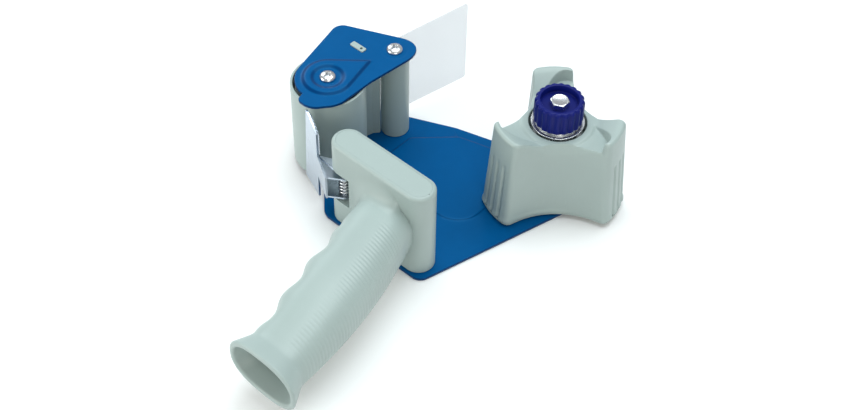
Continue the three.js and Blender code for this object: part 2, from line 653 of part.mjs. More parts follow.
// ---------------------------------------------------------------- core hub
// Three lobes with round outer faces and hollow sides between them.
function lobedShape(lobeR, waistR, halfDeg) {
  const half = radians(halfDeg);
  const shape = new THREE.Shape();
  const off = Math.PI / 3 - half;
  const cornerU = lobeR * Math.cos(off);
  const cornerV = lobeR * Math.sin(off);
  const bow = ((cornerU - waistR) ** 2 + cornerV ** 2) / (2 * (cornerU - waistR));
  const span = Math.asin(cornerV / bow);
  for (let k = 0; k < 3; k += 1) {
    const lobe = radians(LOBE_START_DEG) + k * 2 * Math.PI / 3;
    const mid = lobe + Math.PI / 3;
    shape.absarc(0, 0, lobeR, lobe - half, lobe + half, false);
    const x = (waistR + bow) * Math.cos(mid);
    const y = (waistR + bow) * Math.sin(mid);
    shape.absarc(x, y, bow, mid + Math.PI + span, mid + Math.PI - span, true);
  }
  return shape;
}

const hubLow = DECK + HUB_LIFT;
const hubHigh = DECK + HUB_RIM;
const hubFace = DECK + HUB_FACE;

function draftedLobes(inset, low, high) {
  const shape = lobedShape(LOBE_R - inset, WAIST_R - inset, LOBE_HALF_DEG - inset * 0.9);
  const depth = high - low;
  const geometry = new THREE.ExtrudeGeometry(shape, { depth, bevelEnabled: false, curveSegments: 10 });
  const position = geometry.attributes.position;
  for (let i = 0; i < position.count; i += 1) {
    const z = low + position.getZ(i);
    const share = (z - hubLow) / (hubHigh - hubLow);
    const scale = THREE.MathUtils.lerp(1, LOBE_TOP_R / LOBE_R, share);
    position.setXYZ(i, position.getX(i) * scale, position.getY(i) * scale, z);
  }
  return solid(geometry);
}

const wellFloor = hubFace - WELL_DEPTH;
const flangeTop = DECK + SEAT + HUB_FLANGE_T;

function hubShell() {
  let body = draftedLobes(0, hubLow, hubHigh);
  // Around the well the top is level; each lobe has a lower floor and a raised outer end.
  const floor = hubFace - LOBE_STEP;
  const profile = [
    [0, hubFace], [FACE_R, hubFace], [FACE_R + LOBE_STEP, floor], [RIM_FOOT_R, floor], [RIM_TOP_R, hubHigh],
    [LOBE_R, hubHigh], [LOBE_R, hubHigh + 5], [0, hubHigh + 5],
  ];
  const dish = new THREE.LatheGeometry(profile.map(([r, z]) => new THREE.Vector2(r, z)), 48);
  dish.rotateX(Math.PI / 2);
  body = body.subtract(solid(dish));
  const roof = hubFace - LOBE_STEP - HUB_WALL;
  const cavity = draftedLobes(HUB_WALL, hubLow - 1, roof)
    .subtract(cylinder(WELL_R + HUB_WALL, wellFloor - WELL_FLOOR_T, roof + 1, 0, 0, 40))
    .subtract(cylinder(HUB_SLEEVE_R, hubLow - 2, roof, 0, 0, 32));
  body = body.subtract(cavity);
  body = body.subtract(cylinder(WELL_R, wellFloor, hubHigh + 1, 0, 0, 40));
  body = body.subtract(cylinder(HUB_POST_R + RUN, hubLow - 2, wellFloor + 1, 0, 0, 32));
  return body.add(ring(HUB_SLEEVE_R, HUB_POST_R + RUN, flangeTop + AXIAL_PLAY, wellFloor - 1));
}

function hubBase() {
  const high = hubLow - AXIAL_PLAY;
  const shape = lobedShape(LOBE_R - 0.6, WAIST_R - 0.6, LOBE_HALF_DEG);
  return prism(shape, high - HUB_BASE_T, high, 10)
    .subtract(cylinder(HUB_FLANGE_R + 0.6, hubLow - 5, hubLow, 0, 0, 32));
}

function hubPost() {
  const foot = DECK + SEAT;
  return cylinder(HUB_FLANGE_R, foot, flangeTop, 0, 0, 32)
    .add(cylinder(HUB_POST_R, foot, wellFloor + 2 * WASHER_T + 3, 0, 0, 32))
    .subtract(cylinder(BOLT_R + FIT, foot + 6, hubHigh, 0, 0, 24));
}

add('hub_shell', hubShell(), ...GREY);
add('hub_base', hubBase(), ...GREY);
add('hub_post', hubPost(), ...STEEL);

// ---------------------------------------------------------------- brake: washers, spring and knob
const washerBore = HUB_POST_R + FIT;
const frictionLow = wellFloor + SEAT;
const seatLow = frictionLow + WASHER_T + SEAT;
const cupLow = DECK + CUP_Z;
const knobTop = DECK + KNOB_TOP;
const knobLow = knobTop - KNOB_H;
add('friction_washer', ring(WASHER_R, washerBore, frictionLow, frictionLow + WASHER_T), ...FIBRE);
add('seat_washer', ring(WASHER_R, washerBore, seatLow, seatLow + WASHER_T), ...STEEL);
const springLow = seatLow + WASHER_T + SPRING_WIRE + 0.15;
const springHigh = cupLow - SPRING_WIRE - 0.15;
add('brake_spring', helixTube(SPRING_R, SPRING_WIRE, SPRING_TURNS, springLow, springHigh, 0, 0), ...STEEL);
add('pressure_washer', ring(CUP_R, BOLT_R + FIT, cupLow, cupLow + CUP_T), ...STEEL);
const lockLow = cupLow + CUP_T + SEAT;
add('spring_washer', ring(LOCK_R, BOLT_R + FIT, lockLow, lockLow + LOCK_T), ...STEEL);

function flutedShape(radius, flutes, depth) {
  const shape = new THREE.Shape();
  const steps = flutes * 4;
  for (let i = 0; i < steps; i += 1) {
    const angle = 2 * Math.PI * i / steps;
    const r = radius - depth * (1 - Math.cos(flutes * angle)) / 2;
    if (i === 0) shape.moveTo(r * Math.cos(angle), r * Math.sin(angle));
    else shape.lineTo(r * Math.cos(angle), r * Math.sin(angle));
  }
  return shape;
}

const boltSeat = knobTop - KNOB_DISH;

function brakeKnob() {
  return prism(flutedShape(KNOB_R, KNOB_FLUTES, KNOB_FLUTE_DEPTH), knobLow, knobTop)
    .subtract(cylinder(KNOB_DISH_R, boltSeat, knobTop + 1, 0, 0, 32))
    .subtract(cylinder(BOLT_R + FIT, knobLow - 1, knobTop, 0, 0, 24));
}

function knobBolt() {
  const seat = boltSeat + SEAT;
  const corner = BOLT_HEX / Math.sqrt(3);
  return cylinder(corner, seat, seat + BOLT_HEAD_H, 0, 0, 6)
    .add(cylinder(BOLT_R, seat - BOLT_LENGTH, seat + 0.1, 0, 0, 24));
}

add('brake_knob', brakeKnob(), ...INDIGO);
add('knob_bolt', knobBolt(), ...STEEL);

export default group;
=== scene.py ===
import math

import bmesh
import bpy
from mathutils import Matrix, Vector


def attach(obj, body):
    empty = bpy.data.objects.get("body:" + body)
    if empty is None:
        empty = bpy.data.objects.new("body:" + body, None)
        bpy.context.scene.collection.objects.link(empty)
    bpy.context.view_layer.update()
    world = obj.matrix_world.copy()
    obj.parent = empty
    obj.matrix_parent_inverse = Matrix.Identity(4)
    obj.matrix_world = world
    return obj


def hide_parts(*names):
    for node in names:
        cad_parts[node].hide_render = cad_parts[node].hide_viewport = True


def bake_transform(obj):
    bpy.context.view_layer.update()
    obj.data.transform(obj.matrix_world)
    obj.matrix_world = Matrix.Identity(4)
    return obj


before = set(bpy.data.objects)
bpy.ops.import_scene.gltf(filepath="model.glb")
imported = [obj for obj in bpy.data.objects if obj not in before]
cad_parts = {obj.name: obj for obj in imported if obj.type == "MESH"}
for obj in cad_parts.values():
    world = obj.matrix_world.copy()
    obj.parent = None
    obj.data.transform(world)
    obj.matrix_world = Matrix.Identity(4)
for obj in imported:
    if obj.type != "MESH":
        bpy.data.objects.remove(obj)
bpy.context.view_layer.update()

bl_info = {
    "name": "Tape Dispenser",
    "version": (1, 0, 0),
    "blender": (4, 5, 0),
    "location": "3D View > Sidebar > Dispenser",
    "description": "Hand-held packing-tape dispenser with a sprung blade and a braked core hub",
    "category": "Object",
}

MM = 0.001              # lengths below are in millimetres, and a finished mesh is in metres
TURN = 2 * math.pi
WELD = 1e-4             # points nearer than this are one

# ------------------------------------------------------------------ shared places
DECK = 1.6                          # top of the side plate
ROLLER = (-100.16, -61.04)
POST = (-89.62, -23.03)
HEAD_LOW, HEAD_HIGH = 55.6, 57.1
BLOCK = (-40.04, -83.86)
BLOCK_HALF, BLOCK_R = 23.5, 8.25
BLOCK_TOP = 54.9
BLOCK_FRONT = BLOCK[1] - BLOCK_R
MID_Z = 28.25
PIN = (-63.4, -87.2)
HANDLE_SCREWS = [(BLOCK[0] - 19, BLOCK[1]), (BLOCK[0] + 19, BLOCK[1])]
REST = 0.05                         # gap between faces that rest on each other
THREAD_BORE = 2.12

PLATE_CORNERS = [
    (-113.28, -77.84, 16.7), (-88.76, -77.84, 3), (-73.09, -93.51, 8), (-7.40, -93.51, 6),
    (25.5, 26.0, 17.6), (-65.1, -0.71, 25), (-125.66, -28.18, 6),
]
PANEL_CORNERS = [
    (-14, -55.5, 15.9), (-14, 8.9, 9.9), (-59.5, -4.2, 5), (-79, -23.3, 4), (-79, -41, 5.9),
    (-64.5, -55.5, 6),
]
HEAD_CORNERS = [
    (-113.28, -77.84, 16.7), (-101.36, -77.84, 0.8), (-99.96, -82.94, 3), (-91.21, -82.94, 8.6),
    (-82.26, -71.57, 12), (-82.26, -48.04, 19), (-77.85, -6.49, 10.1), (-125.66, -28.18, 6),
]
HOLDER_CORNERS = [
    (-110.6, -37.4, 1.2), (-96.7, -41.1, 1.2), (-94.9, -34.5, 1.2), (-92.5, -31.6, 0.6),
    (-93.0, -30.5, 0.5), (-110.6, -31.2, 1.2),
]
TAB = (-104.8, -34.2)
TAB_SIZE = (9, 3.4)
TAB_PLAY = 0.12
FLAP_ROOT = (-99.4, -29.4)
FLAP_HEADING = math.radians(78.4)
FLAP_FOOT = 4.4                     # lower edge of the flap
FLAP_GRIP, FLAP_FREE = 7.5, 61.5    # length held in the slit, and past it
FLAP_TALL = (50.4, 52.4)            # height in the slit and at the free end


# ------------------------------------------------------------------ numbers
def lerp(a, b, t):
    return a + (b - a) * t


def ease(a, b, x):
    """0 before a, 1 after b, smooth between."""
    t = min(1.0, max(0.0, (x - a) / (b - a)))
    return t * t * (3 - 2 * t)


def soft_min(a, b, k):
    h = max(k - abs(a - b), 0.0) / k
    return min(a, b) - h * h * k / 4


# ------------------------------------------------------------------ mesh helpers, in millimetres
def outline(bm, corners, z, segments=10):
    """A flat face with an arc at every corner, from (x, y, radius)."""
    verts = [bm.verts.new((x, y, z)) for x, y, _ in corners]
    face = bm.faces.new(verts)
    for vert, (_, _, radius) in zip(verts, corners):
        arms = [edge.other_vert(vert).co - vert.co for edge in vert.link_edges]
        half = arms[0].angle(arms[1]) / 2
        bmesh.ops.bevel(
            bm, geom=[vert], affect="VERTICES", offset_type="OFFSET",
            offset=radius / math.tan(half), segments=segments, profile=0.5, material=-1)
    return face if face.is_valid else max(bm.faces, key=lambda f: len(f.verts))


def prism(corners, low, high, edge=0.0, foot=0.0, segments=10):
    """A plate or block with rounded corners, and rounded upper and lower edges."""
    bm = bmesh.new()
    face = outline(bm, corners, low, segments)
    made = bmesh.ops.extrude_face_region(bm, geom=[face], use_keep_orig=True)
    top = [v for v in made["geom"] if isinstance(v, bmesh.types.BMVert)]
    bmesh.ops.translate(bm, verts=top, vec=(0, 0, high - low))
    bmesh.ops.recalc_face_normals(bm, faces=bm.faces)
    for level, size in ((high, edge), (low, foot)):
        if size:
            rim = [e for e in bm.edges if all(abs(v.co.z - level) < 1e-4 for v in e.verts)]
            bmesh.ops.bevel(
                bm, geom=rim, affect="EDGES", offset=size, offset_type="OFFSET",
                segments=3 if size < 1 else 6, profile=0.5, material=-1)
    return bm


def turned(profile, centre=(0, 0), steps=96, closed=True):
    """A part of revolution about a vertical axis. Profile points are (radius, height, fillet)."""
    bm = bmesh.new()
    verts = [bm.verts.new((r, 0, z)) for r, z, _ in profile]
    ends = list(zip(verts, verts[1:] + verts[:1])) if closed else list(zip(verts, verts[1:]))
    for a, b in ends:
        bm.edges.new((a, b))
    for vert, (_, _, fillet) in zip(verts, profile):
        if fillet:
            bmesh.ops.bevel(
                bm, geom=[vert], affect="VERTICES", offset=fillet, offset_type="OFFSET",
                segments=4, profile=0.5, material=-1)
    bmesh.ops.spin(
        bm, geom=bm.verts[:] + bm.edges[:], cent=(0, 0, 0), axis=(0, 0, 1), angle=TURN,
        steps=steps, use_merge=True)
    bmesh.ops.remove_doubles(bm, verts=bm.verts, dist=WELD)
    bmesh.ops.translate(bm, verts=bm.verts, vec=(*centre, 0))
    bmesh.ops.recalc_face_normals(bm, faces=bm.faces)
    return bm


def wrapped(around, along, place):
    """A grid bent into a closed shape. place(u, row) gives its points, for u from 0 to 1."""
    bm = bmesh.new()
    bmesh.ops.create_grid(bm, x_segments=around, y_segments=along, size=1)
    for vert in bm.verts:
        u = round((vert.co.x + 1) / 2 * around) / around
        row = round((vert.co.y + 1) / 2 * along)
        vert.co = place(u, row)
    bmesh.ops.remove_doubles(bm, verts=bm.verts, dist=WELD)
    bmesh.ops.dissolve_degenerate(bm, edges=bm.edges, dist=WELD / 2)
    bmesh.ops.recalc_face_normals(bm, faces=bm.faces)
    return bm


def coil(radius, wire, turns, low, high, centre):
    """Round wire wound into a spring."""
    steps = int(turns * 40)
    path = []
    for i in range(steps + 1):
        angle = TURN * turns * i / steps
        path.append(Vector((
            centre[0] + radius * math.cos(angle), centre[1] + radius * math.sin(angle),
            lerp(low, high, i / steps))))
    frames = []
    for i, point in enumerate(path):
        ahead = (path[min(i + 1, len(path) - 1)] - path[max(i - 1, 0)]).normalized()
        side = ahead.cross(Vector((0, 0, 1))).normalized()
        frames.append((point, side, side.cross(ahead)))

    def place(u, row):
        point, side, up = frames[min(max(row - 1, 0), len(frames) - 1)]
        size = 0 if row in (0, len(frames) + 1) else wire
        return point + (side * math.cos(TURN * u) + up * math.sin(TURN * u)) * size

    return wrapped(12, len(frames) + 1, place)


def block(low, high):
    """A box between two corners."""
    bm = bmesh.new()
    size = Vector(high) - Vector(low)
    middle = (Vector(low) + Vector(high)) / 2
    bmesh.ops.create_cube(
        bm, size=1, matrix=Matrix.Translation(middle) @ Matrix.Diagonal((*size, 1)))
    return bm


def rod(radius, low, high, centre, top_radius=None):
    """A round bar, or a cone if its top has another radius."""
    bm = bmesh.new()
    place = Matrix.Translation((*centre, (low + high) / 2))
    bmesh.ops.create_cone(
        bm, cap_ends=True, segments=48, radius1=radius,
        radius2=radius if top_radius is None else top_radius, depth=high - low, matrix=place)
    return bm


def combined(base, other, operation):
    """The exact union or difference of two closed meshes."""
    objects = []
    for bm in (base, other):
        mesh = bpy.data.meshes.new("part")
        bm.to_mesh(mesh)
        bm.free()
        obj = bpy.data.objects.new("part", mesh)
        bpy.context.scene.collection.objects.link(obj)
        objects.append(obj)
    cut = objects[0].modifiers.new("cut", "BOOLEAN")
    cut.operation, cut.solver, cut.object = operation, "EXACT", objects[1]
    cut.use_self = True
    bpy.context.view_layer.update()
    depsgraph = bpy.context.evaluated_depsgraph_get()
    made = bpy.data.meshes.new_from_object(objects[0].evaluated_get(depsgraph))
    result = bmesh.new()
    result.from_mesh(made)
    bpy.data.meshes.remove(made)
    for obj in objects:
        mesh = obj.data
        bpy.data.objects.remove(obj)
        bpy.data.meshes.remove(mesh)
    bmesh.ops.remove_doubles(result, verts=result.verts, dist=WELD)
    return result


def copied(node):
    """A CAD node's mesh in millimetres, with its triangles merged and its flat faces whole."""
    bm = bmesh.new()
    bm.from_mesh(bpy.data.objects[node].data)
    bmesh.ops.scale(bm, verts=bm.verts, vec=(1 / MM,) * 3)
    bmesh.ops.remove_doubles(bm, verts=bm.verts, dist=1e-3)
    bmesh.ops.dissolve_limit(bm, angle_limit=0.01, verts=bm.verts, edges=bm.edges)
    return bm


def soften(bm, size):
    """Rounds every edge that turns by more than half a radian."""
    sharp = [e for e in bm.edges if len(e.link_faces) == 2 and e.calc_face_angle(0) > 0.5]
    bmesh.ops.bevel(
        bm, geom=sharp, affect="EDGES", offset=size, offset_type="OFFSET", segments=2,
        profile=0.5, material=-1, clamp_overlap=True)


def add_piece(name, bm, slot, body, nodes, smooth=35, blend=None):
    """Turns a mesh in millimetres into a finished piece: parented to its body, or, when a blend is
    given, left unparented with its placing baked into the mesh.
    """
    bmesh.ops.scale(bm, verts=bm.verts, vec=(MM, MM, MM))
    mesh = bpy.data.meshes.new(name)
    bm.to_mesh(mesh)
    bm.free()
    mesh.materials.append(finish_of(slot))
    mesh.shade_smooth()
    mesh.set_sharp_from_angle(angle=math.radians(smooth))
    obj = bpy.data.objects.new(name, mesh)
    bpy.context.scene.collection.objects.link(obj)
    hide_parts(*nodes)
    if blend:
        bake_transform(obj)
    else:
        even = obj.modifiers.new("Even shading", "WEIGHTED_NORMAL")
        even.keep_sharp = True
        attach(obj, body)


# ------------------------------------------------------------------ materials
class Value:
    """A shader socket that takes part in sums."""

    def __init__(self, shader, socket):
        self.shader, self.socket = shader, socket

    def maths(self, operation, first, second):
        return self.shader.node(
            "ShaderNodeMath", {"operation": operation}, {0: first, 1: second})

    def __add__(self, other):
        return self.maths("ADD", self, other)

    def __radd__(self, other):
        return self.maths("ADD", other, self)

    def __sub__(self, other):
        return self.maths("SUBTRACT", self, other)

    def __rsub__(self, other):
        return self.maths("SUBTRACT", other, self)

    def __mul__(self, other):
        return self.maths("MULTIPLY", self, other)

    def __rmul__(self, other):
        return self.maths("MULTIPLY", other, self)


class Shader:
    """A material that is built node by node."""

    def __init__(self, name):
        self.material = bpy.data.materials.new(name)
        self.material.use_nodes = True
        self.tree = self.material.node_tree
        self.tree.nodes.clear()
        self.position = self.node("ShaderNodeTexCoord", out="Object")

    def node(self, kind, settings=None, inputs=None, out=0):
        node = self.tree.nodes.new(kind)
        for key, value in (settings or {}).items():
            if key == "stops":
                ramp = node.color_ramp
                while len(ramp.elements) < len(value):
                    ramp.elements.new(0.5)
                for element, (place, colour) in zip(ramp.elements, value):
                    element.position, element.color = place, colour
            else:
                setattr(node, key, value)
        for key, value in (inputs or {}).items():
            if isinstance(value, Value):
                self.tree.links.new(value.socket, node.inputs[key])
            else:
                node.inputs[key].default_value = value
        return Value(self, node.outputs[out])

    def noise(self, scale, detail=3.0, roughness=0.5, stretch=None, out=0):
        place = self.position
        if stretch:
            place = self.node("ShaderNodeMapping", {}, {"Vector": place, "Scale": stretch})
        return self.node("ShaderNodeTexNoise", {}, {
            "Vector": place, "Scale": scale, "Detail": detail, "Roughness": roughness}, out)

    def ramp(self, factor, low, high):
        """0 below low and 1 above high."""
        return self.node("ShaderNodeMapRange", {"interpolation_type": "SMOOTHSTEP"},
                         {"Value": factor, "From Min": low, "From Max": high})

    def mix(self, factor, a, b):
        return self.node("ShaderNodeMix", {"data_type": "RGBA"}, {0: factor, 6: a, 7: b}, out=2)

    def bump(self, height, strength, distance):
        return self.node("ShaderNodeBump", {}, {
            "Height": height, "Strength": strength, "Distance": distance})

    def facing_up(self):
        """1 where the surface is level and faces up, 0 on a wall."""
        normal = self.node("ShaderNodeTexCoord", out="Normal")
        return self.node("ShaderNodeSeparateXYZ", {}, {0: normal}, out="Z")

    def finish(self, **inputs):
        named = {key.replace("_", " "): value for key, value in inputs.items()}
        surface = self.node("ShaderNodeBsdfPrincipled", {}, named)
        output = self.tree.nodes.new("ShaderNodeOutputMaterial")
        self.tree.links.new(surface.socket, output.inputs["Surface"])
        return self.material


def shade(colour, factor):
    """A colour made darker or lighter by a factor."""
    return (*(min(1.0, c * factor) for c in colour[:3]), 1.0)


def moulded(name, colour, roughness, grain=0.02, pits=0.3, ior=1.5, coat=0.08):
    """Satin moulded plastic: faint flow clouding, fine grain and small scuffs."""
    s = Shader(name)
    cloud = s.noise(45, 4, 0.55)
    drift = s.noise(9, 2, 0.5)
    scuff = s.ramp(s.noise(900, 2, 0.6, (1, 1, 0.25)), 0.62, 0.78)
    tone = s.mix(cloud, shade(colour, 0.93), shade(colour, 1.05))
    tone = s.mix(drift * 0.35, tone, shade(colour, 0.90))
    tone = s.mix(scuff * 0.22, tone, shade(colour, 1.25))
    gloss = roughness - 0.10 + 0.14 * s.noise(160, 4, 0.6) + 0.10 * scuff + 0.06 * drift
    height = s.noise(4200, 2, 0.5) * grain * 6 + s.noise(650, 3, 0.6) * pits
    return s.finish(
        Base_Color=tone, Roughness=gloss, Normal=s.bump(height, 0.10, 0.00035),
        IOR=ior, Coat_Weight=coat, Coat_Roughness=0.25)


def enamel(name, colour, painted_shade_colour):
    """Glossy stove enamel on sheet steel: orange peel, and painted shade on edges and slopes."""
    s = Shader(name)
    level = s.facing_up()
    # Painted shade: faces that tilt away from level are mixed towards the dark colour, in place of
    # the shade that falls on edges and slopes.
    painted_slope_shade = 1 - s.ramp(level * level, 0.80, 0.995)
    mottle = s.noise(140, 4, 0.6)
    tone = s.mix(mottle, shade(colour, 0.90), shade(colour, 1.08))
    tone = s.mix(s.noise(16, 2) * 0.5, tone, shade(colour, 0.86))
    tone = s.mix(painted_slope_shade * 0.72, tone, painted_shade_colour)
    peel = s.noise(420, 2, 0.45) + 0.3 * s.noise(1500, 2, 0.5)
    gloss = 0.24 + 0.14 * s.noise(90, 3, 0.6)
    return s.finish(
        Base_Color=tone, Roughness=gloss, Normal=s.bump(peel, 0.03, 0.0003),
        Coat_Weight=0.03, Coat_Roughness=0.12, IOR=1.30, Specular_Tint=(0.02, 0.5, 1, 1))


def plated(name, colour, roughness, brushed=None, stain=0.25):
    """Plated or ground steel: brushing lines, cloudy patches and handling marks."""
    s = Shader(name)
    cloud = s.noise(110, 4, 0.6)
    lines = s.noise(700, 3, 0.7, brushed or (1, 1, 1))
    mark = s.ramp(s.noise(330, 5, 0.7), 0.58, 0.72)
    tone = s.mix(cloud, shade(colour, 0.86), shade(colour, 1.06))
    tone = s.mix(mark * stain, tone, shade(colour, 0.62))
    gloss = roughness + 0.13 * cloud + 0.10 * lines + 0.12 * mark - 0.12
    return s.finish(
        Base_Color=tone, Metallic=1.0, Roughness=gloss,
        Normal=s.bump(lines + 0.5 * cloud, 0.10, 0.0002))


def fibre(name, colour):
    """Pressed fibre of a friction washer."""
    s = Shader(name)
    thread = s.noise(1400, 5, 0.7, (1, 0.3, 1))
    tone = s.mix(thread, shade(colour, 0.65), shade(colour, 1.35))
    return s.finish(
        Base_Color=tone, Roughness=0.75 + 0.2 * thread, Normal=s.bump(thread, 0.5, 0.0002))


def clear_film(name, colour):
    """Milky see-through sheet with faint streaks and a scuffed face."""
    s = Shader(name)
    streak = s.noise(60, 4, 0.6, (1, 1, 0.12))
    scuff = s.ramp(s.noise(800, 3, 0.6), 0.60, 0.75)
    tone = s.mix(streak, shade(colour, 0.95), shade(colour, 1.04))
    body = 0.26 + 0.05 * streak + 0.04 * scuff
    return s.finish(
        Base_Color=tone, Alpha=body, Roughness=0.12 + 0.12 * streak + 0.15 * scuff,
        Normal=s.bump(streak + 0.2 * scuff, 0.05, 0.0002), IOR=1.46)


# ------------------------------------------------------------------ settings
def colour_prop(name, description, default):
    return bpy.props.FloatVectorProperty(
        name=name, description=description, subtype="COLOR", size=4, min=0, max=1, default=default)


def length_prop(name, description, default_mm):
    return bpy.props.FloatProperty(
        name=name, description=description, subtype="DISTANCE", unit="LENGTH",
        default=default_mm * MM, min=0, precision=5)


class DispenserSizes(bpy.types.PropertyGroup):
    """Sizes of the details that the finished model adds."""
    plate_edge: length_prop("Plate edge", "Rounding of the sheet-metal edges", 0.35)
    panel_slope: length_prop("Panel slope", "Width of the slope round the raised panel", 1.7)
    block_edge: length_prop("Block edge", "Rounding of the top of the handle block", 1.9)
    rib_pitch: length_prop("Rib pitch", "Spacing of the ribs across the palm", 2.1)
    rib_depth: length_prop("Rib depth", "Depth of the ribs across the palm", 0.16)
    finger_depth: length_prop("Finger depth", "Depth of the finger valleys", 3.4)
    lobe_corner: length_prop("Lobe corner", "Blend at the corners of the hub lobes", 4.2)
    groove_depth: length_prop("Groove depth", "Depth of the grooves in the hub lobes", 0.85)
    knob_flute: length_prop("Knob flute", "Depth of the flutes round the knob", 0.8)
    flap_thickness: length_prop("Flap thickness", "Thickness of the clear flap", 0.5)


class DispenserColours(bpy.types.PropertyGroup):
    """Colours of the finishes, in linear light."""
    enamel: colour_prop("Enamel", "Blue paint of the plates", (0.0, 0.078, 0.245, 1))
    # Painted shade: the dark colour laid on the enamel's edges and slopes in place of real shading.
    enamel_painted_shade: colour_prop("Enamel painted shade", "Painted shade on edges and slopes", (0.001, 0.016, 0.085, 1))
    plastic: colour_prop("Plastic", "Grey-green moulded plastic", (0.335, 0.415, 0.400, 1))
    knob: colour_prop("Knob", "Indigo plastic of the knob", (0.003, 0.008, 0.135, 1))
    zinc: colour_prop("Zinc", "Bright plated screws and washers", (0.72, 0.74, 0.76, 1))
    nickel: colour_prop("Nickel", "Plated sheet of the blade arm", (0.55, 0.62, 0.70, 1))
    fibre: colour_prop("Fibre", "Friction washer", (0.16, 0.09, 0.05, 1))
    film: colour_prop("Film", "Clear tape flap", (0.44, 0.49, 0.55, 1))
    floor: colour_prop("Floor", "Studio floor", (0.90, 0.90, 0.90, 1))


def sizes():
    """The size settings in millimetres."""
    group = bpy.context.scene.dispenser_sizes
    return {key: getattr(group, key) / MM for key in DispenserSizes.__annotations__}


FINISHES = {
    "blue_paint": lambda c: enamel("Blue enamel", c.enamel, c.enamel_painted_shade),
    "grey_plastic": lambda c: moulded("Grey moulded plastic", c.plastic, 0.42),
    "knob_plastic": lambda c: moulded("Indigo plastic", c.knob, 0.36, 0.01, 0.15, 1.25, 0),
    "zinc_steel": lambda c: plated("Bright zinc", c.zinc, 0.26),
    "blade_steel": lambda c: plated("Nickel sheet", c.nickel, 0.30, (1, 1, 0.06), 0.12),
    "turned_steel": lambda c: plated("Turned steel", c.zinc, 0.32, (0.2, 0.2, 4), 0.35),
    "fibre": lambda c: fibre("Pressed fibre", c.fibre),
    "clear_sheet": lambda c: clear_film("Clear film", c.film),
}
MADE = {}


def finish_of(slot):
    """The material of a slot, made once."""
    if slot not in MADE:
        MADE[slot] = FINISHES[slot](bpy.context.scene.dispenser_colours)
    return MADE[slot]


# ------------------------------------------------------------------ plates
def tab_prism(low, high, play, edge=0.0):
    """The holder's locating tab, or with play the slot that it fits."""
    half, wide = TAB_SIZE[0] / 2 + play, TAB_SIZE[1] / 2 + play
    corners = [
        (TAB[0] - half, TAB[1] - wide, 0.7), (TAB[0] + half, TAB[1] - wide, 0.7),
        (TAB[0] + half, TAB[1] + wide, 0.7), (TAB[0] - half, TAB[1] + wide, 0.7),
    ]
    return prism(corners, low, high, edge, segments=4)


def raised_panel(floor, level, slope, wall=0.0):
    """The pressed-up panel: a flat field with a soft slope all round, a wall's width inwards."""
    bm = bmesh.new()
    face = outline(bm, PANEL_CORNERS, floor)
    if wall:
        bmesh.ops.inset_region(bm, faces=[face], thickness=wall, use_even_offset=True)
        rest = [f for f in bm.faces if f is not face]
        bmesh.ops.delete(bm, geom=rest, context="FACES")
    made = bmesh.ops.extrude_face_region(bm, geom=[face], use_keep_orig=True)
    top = [v for v in made["geom"] if isinstance(v, bmesh.types.BMVert)]
    field = next(f for f in made["geom"] if isinstance(f, bmesh.types.BMFace))
    bmesh.ops.translate(bm, verts=top, vec=(0, 0, level[0] - floor))
    bmesh.ops.inset_region(bm, faces=[field], thickness=slope, use_even_offset=True)
    bmesh.ops.translate(bm, verts=field.verts[:], vec=(0, 0, level[1] - level[0]))
    bmesh.ops.bevel(
        bm, geom=field.edges[:], affect="EDGES", offset=0.55, offset_type="OFFSET", segments=3,
        profile=0.5, material=-1)
    bmesh.ops.recalc_face_normals(bm, faces=bm.faces)
    return bm


def frame_plate():
    size = sizes()
    plate = prism(PLATE_CORNERS, 0, DECK, size["plate_edge"], 0.2, 14)
    field = raised_panel(0.5, (DECK, DECK + 0.75), size["panel_slope"])
    plate = combined(plate, field, "UNION")
    hollow = raised_panel(-1, (0.05, 0.6), size["panel_slope"], 1.0)
    plate = combined(plate, hollow, "DIFFERENCE")
    for centre in (*HANDLE_SCREWS, ROLLER, POST):
        countersink = rod(4.02, -0.05, 1.52, centre, THREAD_BORE)
        plate = combined(plate, countersink, "DIFFERENCE")
        plate = combined(plate, rod(THREAD_BORE, -1, 3, centre), "DIFFERENCE")
    plate = combined(plate, tab_prism(-1, 3, TAB_PLAY), "DIFFERENCE")
    add_piece("side_plate", plate, "blue_paint", "frame", ["frame_plate"], 28)


TEARDROP_TIP = (-92.5, -37.0)
TEARDROP_R, TEARDROP_TIP_R = 13.4, 0.4
TEARDROP_RAISE, POST_SEAT = 1.1, 0.12
EMBOSS_GRID = 0.7


def teardrop(x, y, radius):
    """Signed distance from a round about the roller axis drawn out to a point near the post."""
    centre = Vector(ROLLER)
    axis = Vector(TEARDROP_TIP) - centre
    length = axis.length
    axis.normalize()
    at = Vector((x, y)) - centre
    along, off = at.dot(axis), abs(at.cross(axis))
    lean = (radius - TEARDROP_TIP_R) / length
    rise = math.sqrt(1 - lean * lean)
    reach = off * -lean + along * rise
    if reach < 0:
        return at.length - radius
    if reach > rise * length:
        return (at - axis * length).length - TEARDROP_TIP_R
    return off * rise + along * lean - radius


def head_emboss(x, y):
    """Height of the pressed pattern of the upper plate."""
    from_axle = math.hypot(x - ROLLER[0], y - ROLLER[1])
    dish = 1 - ease(6.2, 9.6, from_axle)
    field = 1 - ease(-2.2, 0.5, teardrop(x, y, TEARDROP_R))
    from_post = math.hypot(x - POST[0], y - POST[1])
    seat = ease(5.2, 5.9, from_post) * (1 - ease(6.4, 7.2, from_post))
    return TEARDROP_RAISE * field * (1 - dish) - POST_SEAT * seat


